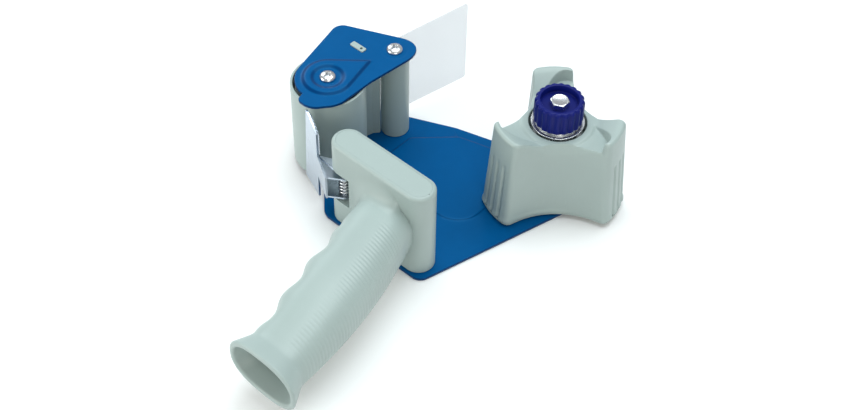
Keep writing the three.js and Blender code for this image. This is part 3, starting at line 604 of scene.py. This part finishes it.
def head_plate():
    size = sizes()
    plate = prism(HEAD_CORNERS, HEAD_LOW, HEAD_HIGH, size["plate_edge"], 0.25, 12)
    for axis, start, end in ((0, -120.987, -76.987), (1, -83.987, -11.987)):
        for i in range(int((end - start) / EMBOSS_GRID)):
            point, normal = [0, 0, 0], [0, 0, 0]
            point[axis], normal[axis] = start + i * EMBOSS_GRID, 1
            bmesh.ops.bisect_plane(
                plate, geom=plate.verts[:] + plate.edges[:] + plate.faces[:], dist=1e-5,
                plane_co=point, plane_no=normal)
    for vert in plate.verts:
        vert.co.z += head_emboss(vert.co.x, vert.co.y)
    plate = combined(plate, tab_prism(HEAD_LOW - 2, HEAD_HIGH + 2, TAB_PLAY), "DIFFERENCE")
    add_piece("upper_plate", plate, "blue_paint", "frame", ["head_plate"], 40)


# ------------------------------------------------------------------ screws
def cross_recess(x, y, top, depth, length=1.9, width=0.95):
    """The tapered cross of a screw head, as a cutter that reaches down, or up, from the face."""
    proud = math.copysign(0.3, depth)
    arms = []
    for a, b in ((length, width / 2), (width / 2, length)):
        bm = bmesh.new()
        bmesh.ops.create_cube(bm, size=2)
        for vert in bm.verts:
            deep = vert.co.z < 0
            pinch = 0.62 if deep else 1.06
            vert.co = (x + vert.co.x * a * pinch, y + vert.co.y * b * pinch,
                       top - depth if deep else top + proud)
        bmesh.ops.recalc_face_normals(bm, faces=bm.faces)
        arms.append(bm)
    return combined(arms[0], arms[1], "UNION")


def pan_screw(name, centre):
    seat = HEAD_HIGH + REST
    high = seat + 2.3
    profile = [
        (0, high, 0), (1.6, high - 0.06, 0), (2.9, high - 0.34, 0), (3.75, high - 0.86, 0),
        (4.15, high - 1.5, 0), (4.2, seat + 0.35, 0), (4.05, seat, 0), (2, seat, 0),
        (2, seat - 6.7, 0.5), (0, seat - 6.7, 0),
    ]
    head = turned(profile, centre, 64, False)
    head = combined(head, cross_recess(*centre, high, 1.25, 2.2, 1.05), "DIFFERENCE")
    add_piece(name, head, "zinc_steel", "frame", [name], 38)


def flat_screw(name, centre):
    profile = [
        (0, 0.02, 0), (3.7, 0, 0), (3.88, 0.12, 0), (2, 1.4, 0), (2, 10.4, 0.5), (0, 10.4, 0),
    ]
    head = turned(profile, centre, 64, False)
    head = combined(head, cross_recess(*centre, 0, -0.9), "DIFFERENCE")
    add_piece(name, head, "zinc_steel", "frame", [name], 38)


# ------------------------------------------------------------------ roller, bars, holder, flap
def roller():
    """The hollow drum and the two discs that carry it on the axle."""
    rim = 0.45
    drum = turned([
        (19.2, 4.0, rim), (19.2, 54.9, rim), (17.9, 54.9, 0.3), (16.9, 4.0, 0.3)], ROLLER, 160)
    add_piece("roller_drum", drum, "grey_plastic", "roller", ["roller_drum"])
    low = turned([
        (3.58, 1.95, 0), (6.5, 1.95, 0.3), (6.5, 7.0, 0.8), (16.8, 7.0, 0), (16.8, 11.0, 0.3),
        (6.5, 11.0, 0.8), (6.5, 14.0, 0.3), (3.58, 14.0, 0)], ROLLER)
    high = turned([
        (3.58, 42.9, 0), (6.5, 42.9, 0.3), (6.5, 45.9, 0.8), (16.9, 45.9, 0.3), (16.9, 49.9, 0),
        (6.5, 49.9, 0.8), (6.5, 55.25, 0.3), (3.58, 55.25, 0)], ROLLER)
    add_piece("roller_hub_lower", low, "grey_plastic", "roller", ["roller_hub_lower"])
    add_piece("roller_hub_upper", high, "grey_plastic", "roller", ["roller_hub_upper"])


def bars():
    """The roller axle and the spacer post between the two plates."""
    low, high = DECK + REST, HEAD_LOW - REST
    bore, deep, point = THREAD_BORE, 11, 11.8
    for name, centre, radius, slot in (
            ("roller_axle", ROLLER, 3.5, "turned_steel"),
            ("spacer_post", POST, 7.6, "grey_plastic")):
        bar = turned([
            (radius, low, 0.4), (radius, high, 0.4), (bore, high, 0.3), (bore, high - deep, 0),
            (0, high - point, 0), (0, low + point, 0), (bore, low + deep, 0), (bore, low, 0.3)],
            centre)
        add_piece(name, bar, slot, "frame", [name])


def flap_place(along, height):
    """A point on the flap's middle plane: distance from its root, and height above its foot."""
    return Vector((
        FLAP_ROOT[0] + along * math.cos(FLAP_HEADING),
        FLAP_ROOT[1] + along * math.sin(FLAP_HEADING), FLAP_FOOT + height))


def flap_strip(start, end, half, play, rounded=0.0):
    """The flap between two distances from its root, or with play the slit that holds it."""
    steps, across = int(end - start) * 2, 24

    def place(share, row):
        along = lerp(start, end, row / steps)
        full = lerp(*FLAP_TALL, (along + FLAP_GRIP) / (FLAP_GRIP + FLAP_FREE)) + 2 * play
        cut = 0.0
        past = along - (end - rounded)
        if rounded and past > 0:
            cut = rounded - math.sqrt(max(0.0, rounded ** 2 - past ** 2))
        return flap_place(along, -play + cut + (full - 2 * cut) * share)

    sheet = bmesh.new()
    bmesh.ops.create_grid(sheet, x_segments=across, y_segments=steps, size=1)
    for vert in sheet.verts:
        share = round((vert.co.x + 1) / 2 * across) / across
        vert.co = place(share, round((vert.co.y + 1) / 2 * steps))
    bmesh.ops.recalc_face_normals(sheet, faces=sheet.faces)
    bmesh.ops.solidify(sheet, geom=sheet.faces[:], thickness=2 * half)
    middle = Vector((-math.sin(FLAP_HEADING), math.cos(FLAP_HEADING), 0))
    shift = sum((middle.dot(v.co - flap_place(0, 0)) for v in sheet.verts)) / len(sheet.verts)
    bmesh.ops.translate(sheet, verts=sheet.verts, vec=-middle * shift)
    bmesh.ops.recalc_face_normals(sheet, faces=sheet.faces)
    return sheet


def flap():
    """The clear flap, built flat from inside the holder's slit to its rounded free end."""
    size = sizes()
    sheet = flap_strip(-FLAP_GRIP, FLAP_FREE, size["flap_thickness"] / 2, 0, 1.5)
    start, end = flap_place(0.2, 20) * MM, flap_place(4.0, 20) * MM
    add_piece("tape_flap", sheet, "clear_sheet", "flap", ["flap_root", "tape_flap"], 40,
              ("frame", "flap", start, end))


def holder():
    """The block that grips the flap, with a tab into each plate and a dimple in the upper one."""
    low, high = DECK + REST, HEAD_LOW - REST
    body = prism(HOLDER_CORNERS, low, high, 0.4, 0.4, 6)
    body = combined(body, tab_prism(0.2, low + 1, 0), "UNION")
    body = combined(body, tab_prism(high - 1, HEAD_HIGH + 0.6, 0, 0.25), "UNION")
    slit = flap_strip(-FLAP_GRIP - TAB_PLAY, FLAP_GRIP, 0.37, TAB_PLAY)
    body = combined(body, slit, "DIFFERENCE")
    dimple = rod(0.8, HEAD_HIGH - 1.5, HEAD_HIGH + 2, (TAB[0] + 2.25, TAB[1]))
    body = combined(body, dimple, "DIFFERENCE")
    add_piece("flap_holder", body, "grey_plastic", "frame", ["flap_holder"])


# ------------------------------------------------------------------ handle
GRIP_LENGTH = 105
GRIP_START, GRIP_LEAN, GRIP_CURL = -29.6, 32.5, -11.6       # centre line
GRIP_HALF_X, GRIP_HALF_Z = 16.2, 15.2
GRIP_SQUARE = 0.8                   # 1 is an ellipse, and less is squarer
GRIP_BELLY, GRIP_FLARE, FLARE_RUN = 2.6, 4.9, 13
GRIP_THIN, THIN_FROM = 3.2, 50      # lost in height towards the open end
GRIP_FILLET, FILLET_RUN = 8, 7      # blend into the block
GRIP_ROOT = -7.5                    # the grip starts inside the block
GRIP_HOLLOW_FROM, GRIP_WALL = 27, 3
FINGER_FIRST, FINGER_PITCH = 27.5, 21.5
RIBS_END = 96.5


def grip_point(angle, along, inset, size, ribs):
    """A point of the grip's skin: along runs from the block's face to the open end."""
    u = along / GRIP_LENGTH
    root = max(0.0, 1 - along / FILLET_RUN)
    cx, cz = math.cos(angle), math.sin(angle)
    fillet = GRIP_FILLET * (1 - math.sqrt(1 - min(1.0, root) ** 2)) * (1 - ease(-0.1, 0.5, cx))
    flare = GRIP_FLARE * ease(GRIP_LENGTH - FLARE_RUN, GRIP_LENGTH, along)
    belly = GRIP_BELLY * math.sin(math.pi * min(1.0, max(0.0, u / 0.9)))
    thin = GRIP_THIN * ease(THIN_FROM, GRIP_LENGTH, along)
    half_x = GRIP_HALF_X + belly + flare + fillet - inset
    half_z = GRIP_HALF_Z + belly / 3 + flare / 2 + fillet - inset - thin
    phase = TURN * (along - FINGER_FIRST) / FINGER_PITCH
    reach = ease(FINGER_FIRST - 8, FINGER_FIRST, along)
    reach *= 1 - ease(GRIP_LENGTH - 21, GRIP_LENGTH - 6, along)
    finger = size["finger_depth"] * reach * (1 - math.cos(phase)) / 2 * max(0.0, -cx) ** 2.2
    centre = GRIP_START + GRIP_LEAN * u + GRIP_CURL * u * u
    x = math.copysign(half_x * abs(cx) ** GRIP_SQUARE, cx) + finger
    z = math.copysign(half_z * abs(cz) ** GRIP_SQUARE, cz)
    if ribs:
        palm = ease(0.12, 0.34, cx) * ease(10, 15, along) * (1 - ease(88, 93, along))
        wave = (1 - math.cos(TURN * along / size["rib_pitch"])) / 2
        cut = size["rib_depth"] * palm * wave
        x -= cut * cx
        z -= cut * cz
    return Vector((centre + x, BLOCK_FRONT - along, MID_Z - thin + z))


def grip():
    """The hollow grip: ribbed skin, rolled rim, inner wall and its floor."""
    size = sizes()
    step = size["rib_pitch"] / 6
    rows = [(GRIP_ROOT + 2.5 * i, 0, False) for i in range(6)]
    rows += [(FILLET_RUN + step * i, 0, True) for i in range(int((RIBS_END - FILLET_RUN) / step))]
    rim = GRIP_WALL / 2
    start = GRIP_LENGTH - rim
    for i in range(13):
        angle = math.pi * i / 12
        rows.append((start + rim * math.sin(angle), rim * (1 - math.cos(angle)), False))
    rows += [(start - 4 * i, GRIP_WALL, False) for i in range(1, 19)]
    rows += [(GRIP_HOLLOW_FROM, GRIP_WALL, False), (GRIP_HOLLOW_FROM, 3 * GRIP_WALL, False)]

    def place(u, row):
        if row in (0, len(rows)):
            along = GRIP_HOLLOW_FROM if row else GRIP_ROOT
            sides = [grip_point(a, along, 0, size, False) for a in (0, math.pi)]
            return (sides[0] + sides[1]) / 2
        along, inset, ribs = rows[row - 1]
        return grip_point(TURN * u, along, inset, size, ribs)

    return wrapped(144, len(rows), place)


def stadium(inset):
    """Corners of the handle block's outline, drawn in by an inset."""
    x0, x1 = BLOCK[0] - BLOCK_HALF - BLOCK_R + inset, BLOCK[0] + BLOCK_HALF + BLOCK_R - inset
    y0, y1 = BLOCK[1] - BLOCK_R + inset, BLOCK[1] + BLOCK_R - inset
    radius = (y1 - y0) / 2 - 0.03
    return [(x0, y0, radius), (x1, y0, radius), (x1, y1, radius), (x0, y1, radius)]


def handle():
    """The block with its grip, cap recess, blade slot, pin bore and screw bores, and the cap."""
    size = sizes()
    body = prism(stadium(0), DECK + REST, BLOCK_TOP, size["block_edge"], 0.5, 16)
    body = combined(body, grip(), "UNION")
    recess = prism(stadium(2), BLOCK_TOP - 2 - REST, BLOCK_TOP + 2, segments=16)
    body = combined(body, recess, "DIFFERENCE")
    slot = block((-78, BLOCK_FRONT - 5, DECK + 15.6), (-56, BLOCK_FRONT + 11, DECK + 35))
    body = combined(body, slot, "DIFFERENCE")
    body = combined(body, rod(1.72, 12.7, 52.85, PIN), "DIFFERENCE")
    for centre in HANDLE_SCREWS:
        body = combined(body, rod(THREAD_BORE, 0, 11.4, centre), "DIFFERENCE")
    add_piece("handle", body, "grey_plastic", "frame", ["handle"], 40)
    cap = prism(stadium(2.07), BLOCK_TOP - 2, BLOCK_TOP, 0.05, 0, 16)
    add_piece("handle_cap", cap, "grey_plastic", "frame", ["handle_cap"])


# ------------------------------------------------------------------ blade arm
def blade_parts():
    """The bent arm and its toothed blade with softened edges, the pin and the spring."""
    for name, edge in (("blade_arm", 0.18), ("cutting_blade", 0.07)):
        bm = copied(name)
        soften(bm, edge)
        add_piece(name, bm, "blade_steel", "blade", [name], 40)
    pin = turned([
        (0, 12.75, 0), (1.3, 12.75, 0), (1.6, 13.1, 0), (1.6, 40.6, 0), (1.2, 41.05, 0),
        (0, 41.1, 0)], PIN, 48, False)
    add_piece("blade_pin", pin, "turned_steel", "frame", ["blade_pin"])
    spring = coil(3, 0.45, 5, 20.55, 31.45, PIN)
    add_piece("blade_spring", spring, "zinc_steel", "blade", ["blade_spring"], 60)


# ------------------------------------------------------------------ core hub
HUB_LOW, HUB_RIM, HUB_FACE = 4.0, 57.0, 50.1
WELL_R, WELL_FLOOR = 14.6, 38.1
SLEEVE_R, SLEEVE_BORE = 9.0, 6.08   # sleeve that turns on the post
LOBE_R, WAIST_R = 38.0, 20.3
LOBE_HEADING, LOBE_HALF = math.radians(14), math.radians(18.6)
HUB_EDGE, HUB_DRAFT, HUB_LIP = 1.8, 0.1, 0.5
GROOVE_TURN, GROOVE_TOP = math.radians(8), 40.5
HUB_AROUND, WALL_ROWS = 600, 40


def hub_edge(angle, corner, inset=0.0):
    """Plan radius of the hub at its skirt: three lobes, hollows between them, and round corners."""
    lobe, waist, half = LOBE_R - inset, WAIST_R - inset, LOBE_HALF
    off = math.pi / 3 - half
    u, v = lobe * math.cos(off), lobe * math.sin(off)
    bow = ((u - waist) ** 2 + v * v) / (2 * (u - waist))
    far = waist + bow
    turn = (angle - LOBE_HEADING - math.pi / 3) % (TURN / 3)
    turn = min(turn, TURN / 3 - turn)
    cx = (far ** 2 + (lobe - corner) ** 2 - (bow + corner) ** 2) / (2 * far)
    cy = math.sqrt((lobe - corner) ** 2 - cx * cx)
    share = bow / (bow + corner)
    if turn >= math.atan2(cy, cx):
        return lobe
    if turn > math.atan2(cy * share, far + (cx - far) * share):
        reach = cx * math.cos(turn) + cy * math.sin(turn)
        return reach + math.sqrt(max(0.0, corner ** 2 - cx * cx - cy * cy + reach * reach))
    return far * math.cos(turn) - math.sqrt(bow * bow - (far * math.sin(turn)) ** 2)


def lobe_turn(angle):
    """Heading from the middle of the nearest lobe."""
    return (angle - LOBE_HEADING + TURN / 6) % (TURN / 3) - TURN / 6


def hub_top(r, angle):
    """Height of the hub's top: level round the well, and rising to the end of every lobe.
    A lower trough cuts into each lobe from one side and ends in a curved step."""
    turn = math.degrees(lobe_turn(angle))
    rise = HUB_FACE + 0.62 * max(0.0, r - 20.0) - 0.25 * ease(19, 21, r)
    rise = soft_min(rise, HUB_RIM, 1.6)
    trough = HUB_FACE - 0.8 * ease(17.6, 19.4, r) + 0.08 * max(0.0, r - 22)
    step = lerp(18, 30.5, ease(24, -14, turn))
    return lerp(trough, rise, ease(-0.5, 0.5, r - step))


def hub_chamfer(angle):
    """Extra depth of the chamfer that runs along the top of every hollow."""
    turn = math.degrees(lobe_turn(angle)) % 120
    return 4.6 * ease(22, 48, turn) * (1 - ease(72, 100, turn))


def hub_shell():
    """The lobed shell, lofted over its top, down its wall and up inside, and its base."""
    size = sizes()
    corner, groove, edge = size["lobe_corner"], size["groove_depth"], HUB_EDGE

    def scale_at(z):
        return 1 - HUB_DRAFT * (z - HUB_LOW) / (HUB_RIM - HUB_LOW)

    def wall(angle, z):
        r = hub_edge(angle, corner) * scale_at(z)
        turn = abs(lobe_turn(angle))
        cut = 0.0
        for middle in (0.0, GROOVE_TURN):
            cut = max(cut, 1 - ease(0.4, 1.5, abs(turn - middle) * LOBE_R))
        reach = 1 - ease(GROOVE_TOP - 3.5, GROOVE_TOP, z)
        lip = HUB_LIP * (1 - ease(5.4, 6.4, z))
        return r - groove * cut * reach + lip - HUB_LIP

    top_rows = [WELL_R + 0.5, 15.6, 16.6, 17.6, 18.1, 18.6, 19.1, 19.6]
    top_rows += [20.2 + 0.45 * i for i in range(28)] + [33.0]
    under = [
        lambda a, skirt: (wall(a, HUB_LOW + 0.3) - 0.3, HUB_LOW),
        lambda a, skirt: (wall(a, HUB_LOW + 0.3) - 2.4, HUB_LOW),
        lambda a, skirt: (skirt * 0.88 - 2.8, 42.5),
        lambda a, skirt: (min(17.0, skirt * 0.88 - 2.9), 42.5),
        lambda a, skirt: (min(17.0, skirt * 0.88 - 2.9), 35.1),
        lambda a, skirt: (SLEEVE_R, 35.1),
        lambda a, skirt: (SLEEVE_R, 2.5),
        lambda a, skirt: (SLEEVE_BORE, 2.5),
        lambda a, skirt: (SLEEVE_BORE, WELL_FLOOR),
        lambda a, skirt: (WELL_R - 0.4, WELL_FLOOR),
        lambda a, skirt: (WELL_R, WELL_FLOOR + 0.4),
        lambda a, skirt: (WELL_R, HUB_FACE - 0.5),
        lambda a, skirt: (WELL_R + 0.14, HUB_FACE - 0.14),
    ]
    bends = [0.06, 0.2, 0.4, 0.6, 0.8, 0.94]
    first = len(top_rows)
    second = first + len(bends)
    third = second + WALL_ROWS
    total = third + len(under)
    columns = {}

    def column(angle):
        """Skirt radius, rim radius, height of the rim and depth of the chamfer at one heading."""
        skirt = hub_edge(angle, corner)
        rim_z = HUB_FACE
        for _ in range(3):
            rim_r = skirt * scale_at(rim_z) - HUB_LIP
            rim_z = hub_top(rim_r - edge, angle)
        return skirt, rim_r, rim_z, hub_chamfer(angle)

    def place(u, row):
        angle = TURN * (u % 1)
        row = row % total
        key = round(u * HUB_AROUND) % HUB_AROUND
        if key not in columns:
            columns[key] = column(angle)
        skirt, rim_r, rim_z, deep = columns[key]
        fall = edge + deep
        if row < first:
            r = min(top_rows[row], rim_r - edge - 0.01 * (first - row))
            z = hub_top(r, angle)
        elif row < second:
            t = bends[row - first]
            flat = min(1.0, deep / 2.5)
            over = lerp(math.sin(t * math.pi / 2), t, flat)
            down = lerp(1 - math.cos(t * math.pi / 2), t, flat)
            z = rim_z - fall * down
            r = lerp(rim_r - edge, wall(angle, rim_z - fall), over)
        elif row < third:
            t = (row - second + 1) / WALL_ROWS
            z = lerp(rim_z - fall, HUB_LOW + 0.3, t)
            r = wall(angle, z)
        else:
            r, z = under[row - third](angle, skirt)
        return Vector((r * math.cos(angle), r * math.sin(angle), z))

    shell = wrapped(HUB_AROUND, total, place)
    add_piece("hub_shell", shell, "grey_plastic", "hub", ["hub_shell"], 50)

    rows = [(0, 2.55), (0, 3.35), (-0.25, 3.6), (None, 3.6), (None, 2.55)]

    def base(u, row):
        angle = TURN * u
        inset, z = rows[row % len(rows)]
        r = 13.6 if inset is None else hub_edge(angle, corner, 0.6) + inset
        return Vector((r * math.cos(angle), r * math.sin(angle), z))

    add_piece("hub_base", wrapped(360, len(rows), base), "grey_plastic", "hub", ["hub_base"], 40)


# ------------------------------------------------------------------ brake
BOLT_BORE = 3.12


def brake_stack():
    """Post, washers and spring under the knob."""
    post = turned([
        (6.0, 43.1, 0.4), (6.0, 2.15, 0.3), (13.0, 2.15, 0.15), (13.0, 1.65, 0), (0, 1.65, 0),
        (0, 7.6, 0), (BOLT_BORE, 7.6, 0), (BOLT_BORE, 43.1, 0.3)])
    add_piece("hub_post", post, "turned_steel", "frame", ["hub_post"])
    for name, slot, body, radius, bore, low, thick in (
            ("friction_washer", "fibre", "frame", 13, 6.12, 38.15, 1),
            ("seat_washer", "zinc_steel", "frame", 13, 6.12, 39.2, 1),
            ("pressure_washer", "zinc_steel", "pressure", 13.5, BOLT_BORE, 49.4, 1)):
        high = low + thick
        washer = turned([
            (bore, low, 0.1), (radius, low, 0.25), (radius, high, 0.3), (bore, high, 0.1)])
        add_piece(name, washer, slot, body, [name])
    lock = turned([
        (BOLT_BORE, 50.45, 0.1), (11.4, 50.45, 0.3), (11.4, 51.55, 0.4), (BOLT_BORE, 51.55, 0.1)])
    lock = combined(lock, block((5, -0.35, 50), (14, 0.35, 53)), "DIFFERENCE")
    add_piece("spring_washer", lock, "zinc_steel", "pressure", ["spring_washer"])
    spring = coil(9.4, 0.8, 3.5, 41.3, 47.35, (0, 0))
    add_piece("brake_spring", spring, "zinc_steel", "frame", ["brake_spring"], 60)


def knob_and_bolt():
    """The fluted knob with its dish, and the hexagon bolt that stands in it."""
    size = sizes()
    low, high, radius = 51.7, 65.0, 12.5
    dish_r, dish_z = 9.6, 60.9
    flute = size["knob_flute"]
    rows = [(BOLT_BORE, low, 0), (radius - 1.1, low, 0), (radius - 0.5, low + 0.12, 0.4),
            (radius - 0.1, low + 0.6, 0.8), (radius, low + 1.2, 1)]
    rows += [(radius, lerp(low + 1.2, high - 1.9, i / 6), 1) for i in range(1, 7)]
    for i in range(1, 8):
        bend = math.pi / 2 * i / 7
        rows.append((radius - 1.7 * (1 - math.cos(bend)), high - 1.9 + 1.9 * math.sin(bend),
                     math.cos(bend) ** 0.6 if i < 7 else 0))
    rows += [(dish_r + 0.55, high, 0), (dish_r + 0.2, high - 0.1, 0), (dish_r, high - 0.4, 0),
             (dish_r - 0.1, dish_z + 0.35, 0), (dish_r - 0.5, dish_z, 0), (BOLT_BORE, dish_z, 0)]

    def place(u, row):
        angle = TURN * u
        r, z, share = rows[row % len(rows)]
        wave = (1 - math.cos(20 * angle)) / 2
        r -= flute * share * wave ** 1.4
        return Vector((r * math.cos(angle), r * math.sin(angle), z))

    knob = wrapped(480, len(rows), place)
    add_piece("brake_knob", knob, "knob_plastic", "knob", ["brake_knob"], 40)

    seat, across, head = dish_z + REST, 8.6, 3.4
    top = seat + head
    levels = [(0, seat - 32), (2.5, seat - 32), (3, seat - 31.5), (3, seat), (9, seat)]
    levels += [(9, top - 0.85 * (1 - i / 6)) for i in range(7)]
    levels += [(3.9, top), (3.2, top - 0.2), (0, top - 0.24)]

    def hexagon(u, row):
        angle = TURN * u
        r, z = levels[row]
        sixth = (angle + TURN / 12) % (TURN / 6) - TURN / 12
        flat = across / 2 / math.cos(sixth)
        r = min(r, flat, 4.1 + (top - z) * 1.9)
        return Vector((r * math.cos(angle), r * math.sin(angle), z))

    bolt = wrapped(96, len(levels) - 1, hexagon)
    add_piece("knob_bolt", bolt, "zinc_steel", "knob", ["knob_bolt"], 30)


# ------------------------------------------------------------------ stage
LIGHTS = (                          # name, place, width, power, tint
    ("top", (-0.05, 0.30, 1.55), 1.5, 23, (0.88, 0.97, 1.0)),
    ("right", (1.15, -0.85, 0.75), 0.9, 5.5, (1.0, 0.96, 0.86)),
    ("left", (-1.35, 0.35, 0.85), 0.8, 4.5, (0.86, 0.96, 1.0)),
    ("front", (-0.75, -1.25, 0.55), 1.0, 9, (1.0, 1.0, 0.94)),
)
LIGHT_AIM = (-0.04, -0.06, 0.02)
SKY_STRENGTH = 0.45
LENS, SENSOR = 64.63, 36
ELEVATION, HEADING, ROLL = 47.545, 41.337, 1.234            # degrees
CAMERA_TARGET, CAMERA_AWAY = (-0.03756, -0.05220, 0.0016), 0.79423


def stage():
    """Floor, soft light and the camera."""
    colours = bpy.context.scene.dispenser_colours
    bm = bmesh.new()
    bmesh.ops.create_grid(bm, x_segments=8, y_segments=8, size=6)
    mesh = bpy.data.meshes.new("floor")
    bm.to_mesh(mesh)
    bm.free()
    s = Shader("Floor paper")
    tone = s.mix(s.noise(3, 3), shade(colours.floor, 0.985), shade(colours.floor, 1.01))
    mesh.materials.append(s.finish(Base_Color=tone, Roughness=0.85))
    floor = bpy.data.objects.new("floor", mesh)
    floor.location.z = -0.0002
    bpy.context.scene.collection.objects.link(floor)

    for name, place, width, power, tint in LIGHTS:
        data = bpy.data.lights.new(name, "AREA")
        data.shape, data.size, data.energy, data.color = "DISK", width, power, tint
        lamp = bpy.data.objects.new(name, data)
        lamp.location = place
        aim = Vector(LIGHT_AIM) - Vector(place)
        lamp.rotation_euler = aim.to_track_quat("-Z", "Y").to_euler()
        bpy.context.scene.collection.objects.link(lamp)

    world = bpy.data.worlds.new("studio")
    world.use_nodes = True
    sky = world.node_tree.nodes["Background"]
    sky.inputs["Color"].default_value = (1, 1, 1, 1)
    sky.inputs["Strength"].default_value = SKY_STRENGTH
    bpy.context.scene.world = world
    bpy.context.scene.view_settings.view_transform = "Standard"
    bpy.context.scene.view_settings.exposure = 0.0

    data = bpy.data.cameras.new("camera")
    data.lens, data.sensor_width = LENS, SENSOR
    data.clip_start, data.clip_end = 0.02, 20
    camera = bpy.data.objects.new("camera", data)
    elevation, heading, roll = (math.radians(a) for a in (ELEVATION, HEADING, ROLL))
    right = Vector((math.cos(heading), math.sin(heading), 0))
    level = Vector((-math.sin(heading), math.cos(heading), 0))
    up = Vector((0, 0, 1))
    forward = level * math.cos(elevation) - up * math.sin(elevation)
    top = level * math.sin(elevation) + up * math.cos(elevation)
    x_axis = right * math.cos(roll) + top * math.sin(roll)
    y_axis = top * math.cos(roll) - right * math.sin(roll)
    basis = Matrix((x_axis, y_axis, -forward)).transposed().to_4x4()
    camera.matrix_world = Matrix.Translation(Vector(CAMERA_TARGET) - forward * CAMERA_AWAY) @ basis
    bpy.context.scene.collection.objects.link(camera)
    bpy.context.scene.camera = camera


# ------------------------------------------------------------------ operators
class DispenserOperator:
    """What every operator of this file shares."""
    bl_options = {"REGISTER", "UNDO"}

    def execute(self, context):
        self.build()
        return {"FINISHED"}


class DISPENSER_OT_side_plate(DispenserOperator, bpy.types.Operator):
    """Build the enamelled side plate with its raised panel"""
    bl_idname, bl_label = "dispenser.side_plate", "Side plate"

    def build(self):
        frame_plate()


class DISPENSER_OT_upper_plate(DispenserOperator, bpy.types.Operator):
    """Build the pressed upper plate over the roller"""
    bl_idname, bl_label = "dispenser.upper_plate", "Upper plate"

    def build(self):
        head_plate()


class DISPENSER_OT_screws(DispenserOperator, bpy.types.Operator):
    """Build the cross-head screws of both plates"""
    bl_idname, bl_label = "dispenser.screws", "Screws"

    def build(self):
        pan_screw("roller_screw_top", ROLLER)
        pan_screw("post_screw_top", POST)
        flat_screw("roller_screw_bottom", ROLLER)
        flat_screw("post_screw_bottom", POST)
        for i, centre in enumerate(HANDLE_SCREWS):
            flat_screw(f"handle_screw_{i + 1}", centre)


class DISPENSER_OT_roller(DispenserOperator, bpy.types.Operator):
    """Build the free-turning roller, its axle and the spacer post"""
    bl_idname, bl_label = "dispenser.roller", "Roller and bars"

    def build(self):
        roller()
        bars()


class DISPENSER_OT_flap(DispenserOperator, bpy.types.Operator):
    """Build the clear flap and the holder that grips it"""
    bl_idname, bl_label = "dispenser.flap", "Flap and holder"

    def build(self):
        holder()
        flap()


class DISPENSER_OT_handle(DispenserOperator, bpy.types.Operator):
    """Build the handle block, its cap and the ribbed grip"""
    bl_idname, bl_label = "dispenser.handle", "Handle"

    def build(self):
        handle()


class DISPENSER_OT_blade(DispenserOperator, bpy.types.Operator):
    """Build the sprung blade arm, the toothed blade, the pin and the spring"""
    bl_idname, bl_label = "dispenser.blade", "Blade arm"

    def build(self):
        blade_parts()


class DISPENSER_OT_hub(DispenserOperator, bpy.types.Operator):
    """Build the three-lobed core hub and its base"""
    bl_idname, bl_label = "dispenser.hub", "Core hub"

    def build(self):
        hub_shell()


class DISPENSER_OT_brake(DispenserOperator, bpy.types.Operator):
    """Build the brake post, the washers and the spring"""
    bl_idname, bl_label = "dispenser.brake", "Brake stack"

    def build(self):
        brake_stack()


class DISPENSER_OT_knob(DispenserOperator, bpy.types.Operator):
    """Build the fluted brake knob and its hexagon bolt"""
    bl_idname, bl_label = "dispenser.knob", "Brake knob"

    def build(self):
        knob_and_bolt()


class DISPENSER_OT_stage(DispenserOperator, bpy.types.Operator):
    """Build the floor, the lights and the camera"""
    bl_idname, bl_label = "dispenser.stage", "Stage"

    def build(self):
        stage()


OPERATORS = (
    DISPENSER_OT_side_plate, DISPENSER_OT_upper_plate, DISPENSER_OT_screws, DISPENSER_OT_roller,
    DISPENSER_OT_flap, DISPENSER_OT_handle, DISPENSER_OT_blade, DISPENSER_OT_hub,
    DISPENSER_OT_brake, DISPENSER_OT_knob, DISPENSER_OT_stage,
)


class DISPENSER_PT_panel(bpy.types.Panel):
    """Lists the dispenser's pieces"""
    bl_label, bl_idname = "Tape Dispenser", "DISPENSER_PT_panel"
    bl_space_type, bl_region_type, bl_category = "VIEW_3D", "UI", "Dispenser"

    def draw(self, context):
        layout = self.layout
        for group in (context.scene.dispenser_sizes, context.scene.dispenser_colours):
            box = layout.box()
            for key in type(group).__annotations__:
                box.prop(group, key)
        for operator in OPERATORS:
            layout.operator(operator.bl_idname)


CLASSES = (DispenserSizes, DispenserColours, *OPERATORS, DISPENSER_PT_panel)


def register():
    for cls in CLASSES:
        bpy.utils.register_class(cls)
    bpy.types.Scene.dispenser_sizes = bpy.props.PointerProperty(type=DispenserSizes)
    bpy.types.Scene.dispenser_colours = bpy.props.PointerProperty(type=DispenserColours)


def unregister():
    del bpy.types.Scene.dispenser_sizes
    del bpy.types.Scene.dispenser_colours
    for cls in reversed(CLASSES):
        bpy.utils.unregister_class(cls)


def main():
    register()
    for operator in OPERATORS:
        group, name = operator.bl_idname.split(".")
        getattr(getattr(bpy.ops, group), name)()


if __name__ == "__main__":
    main()
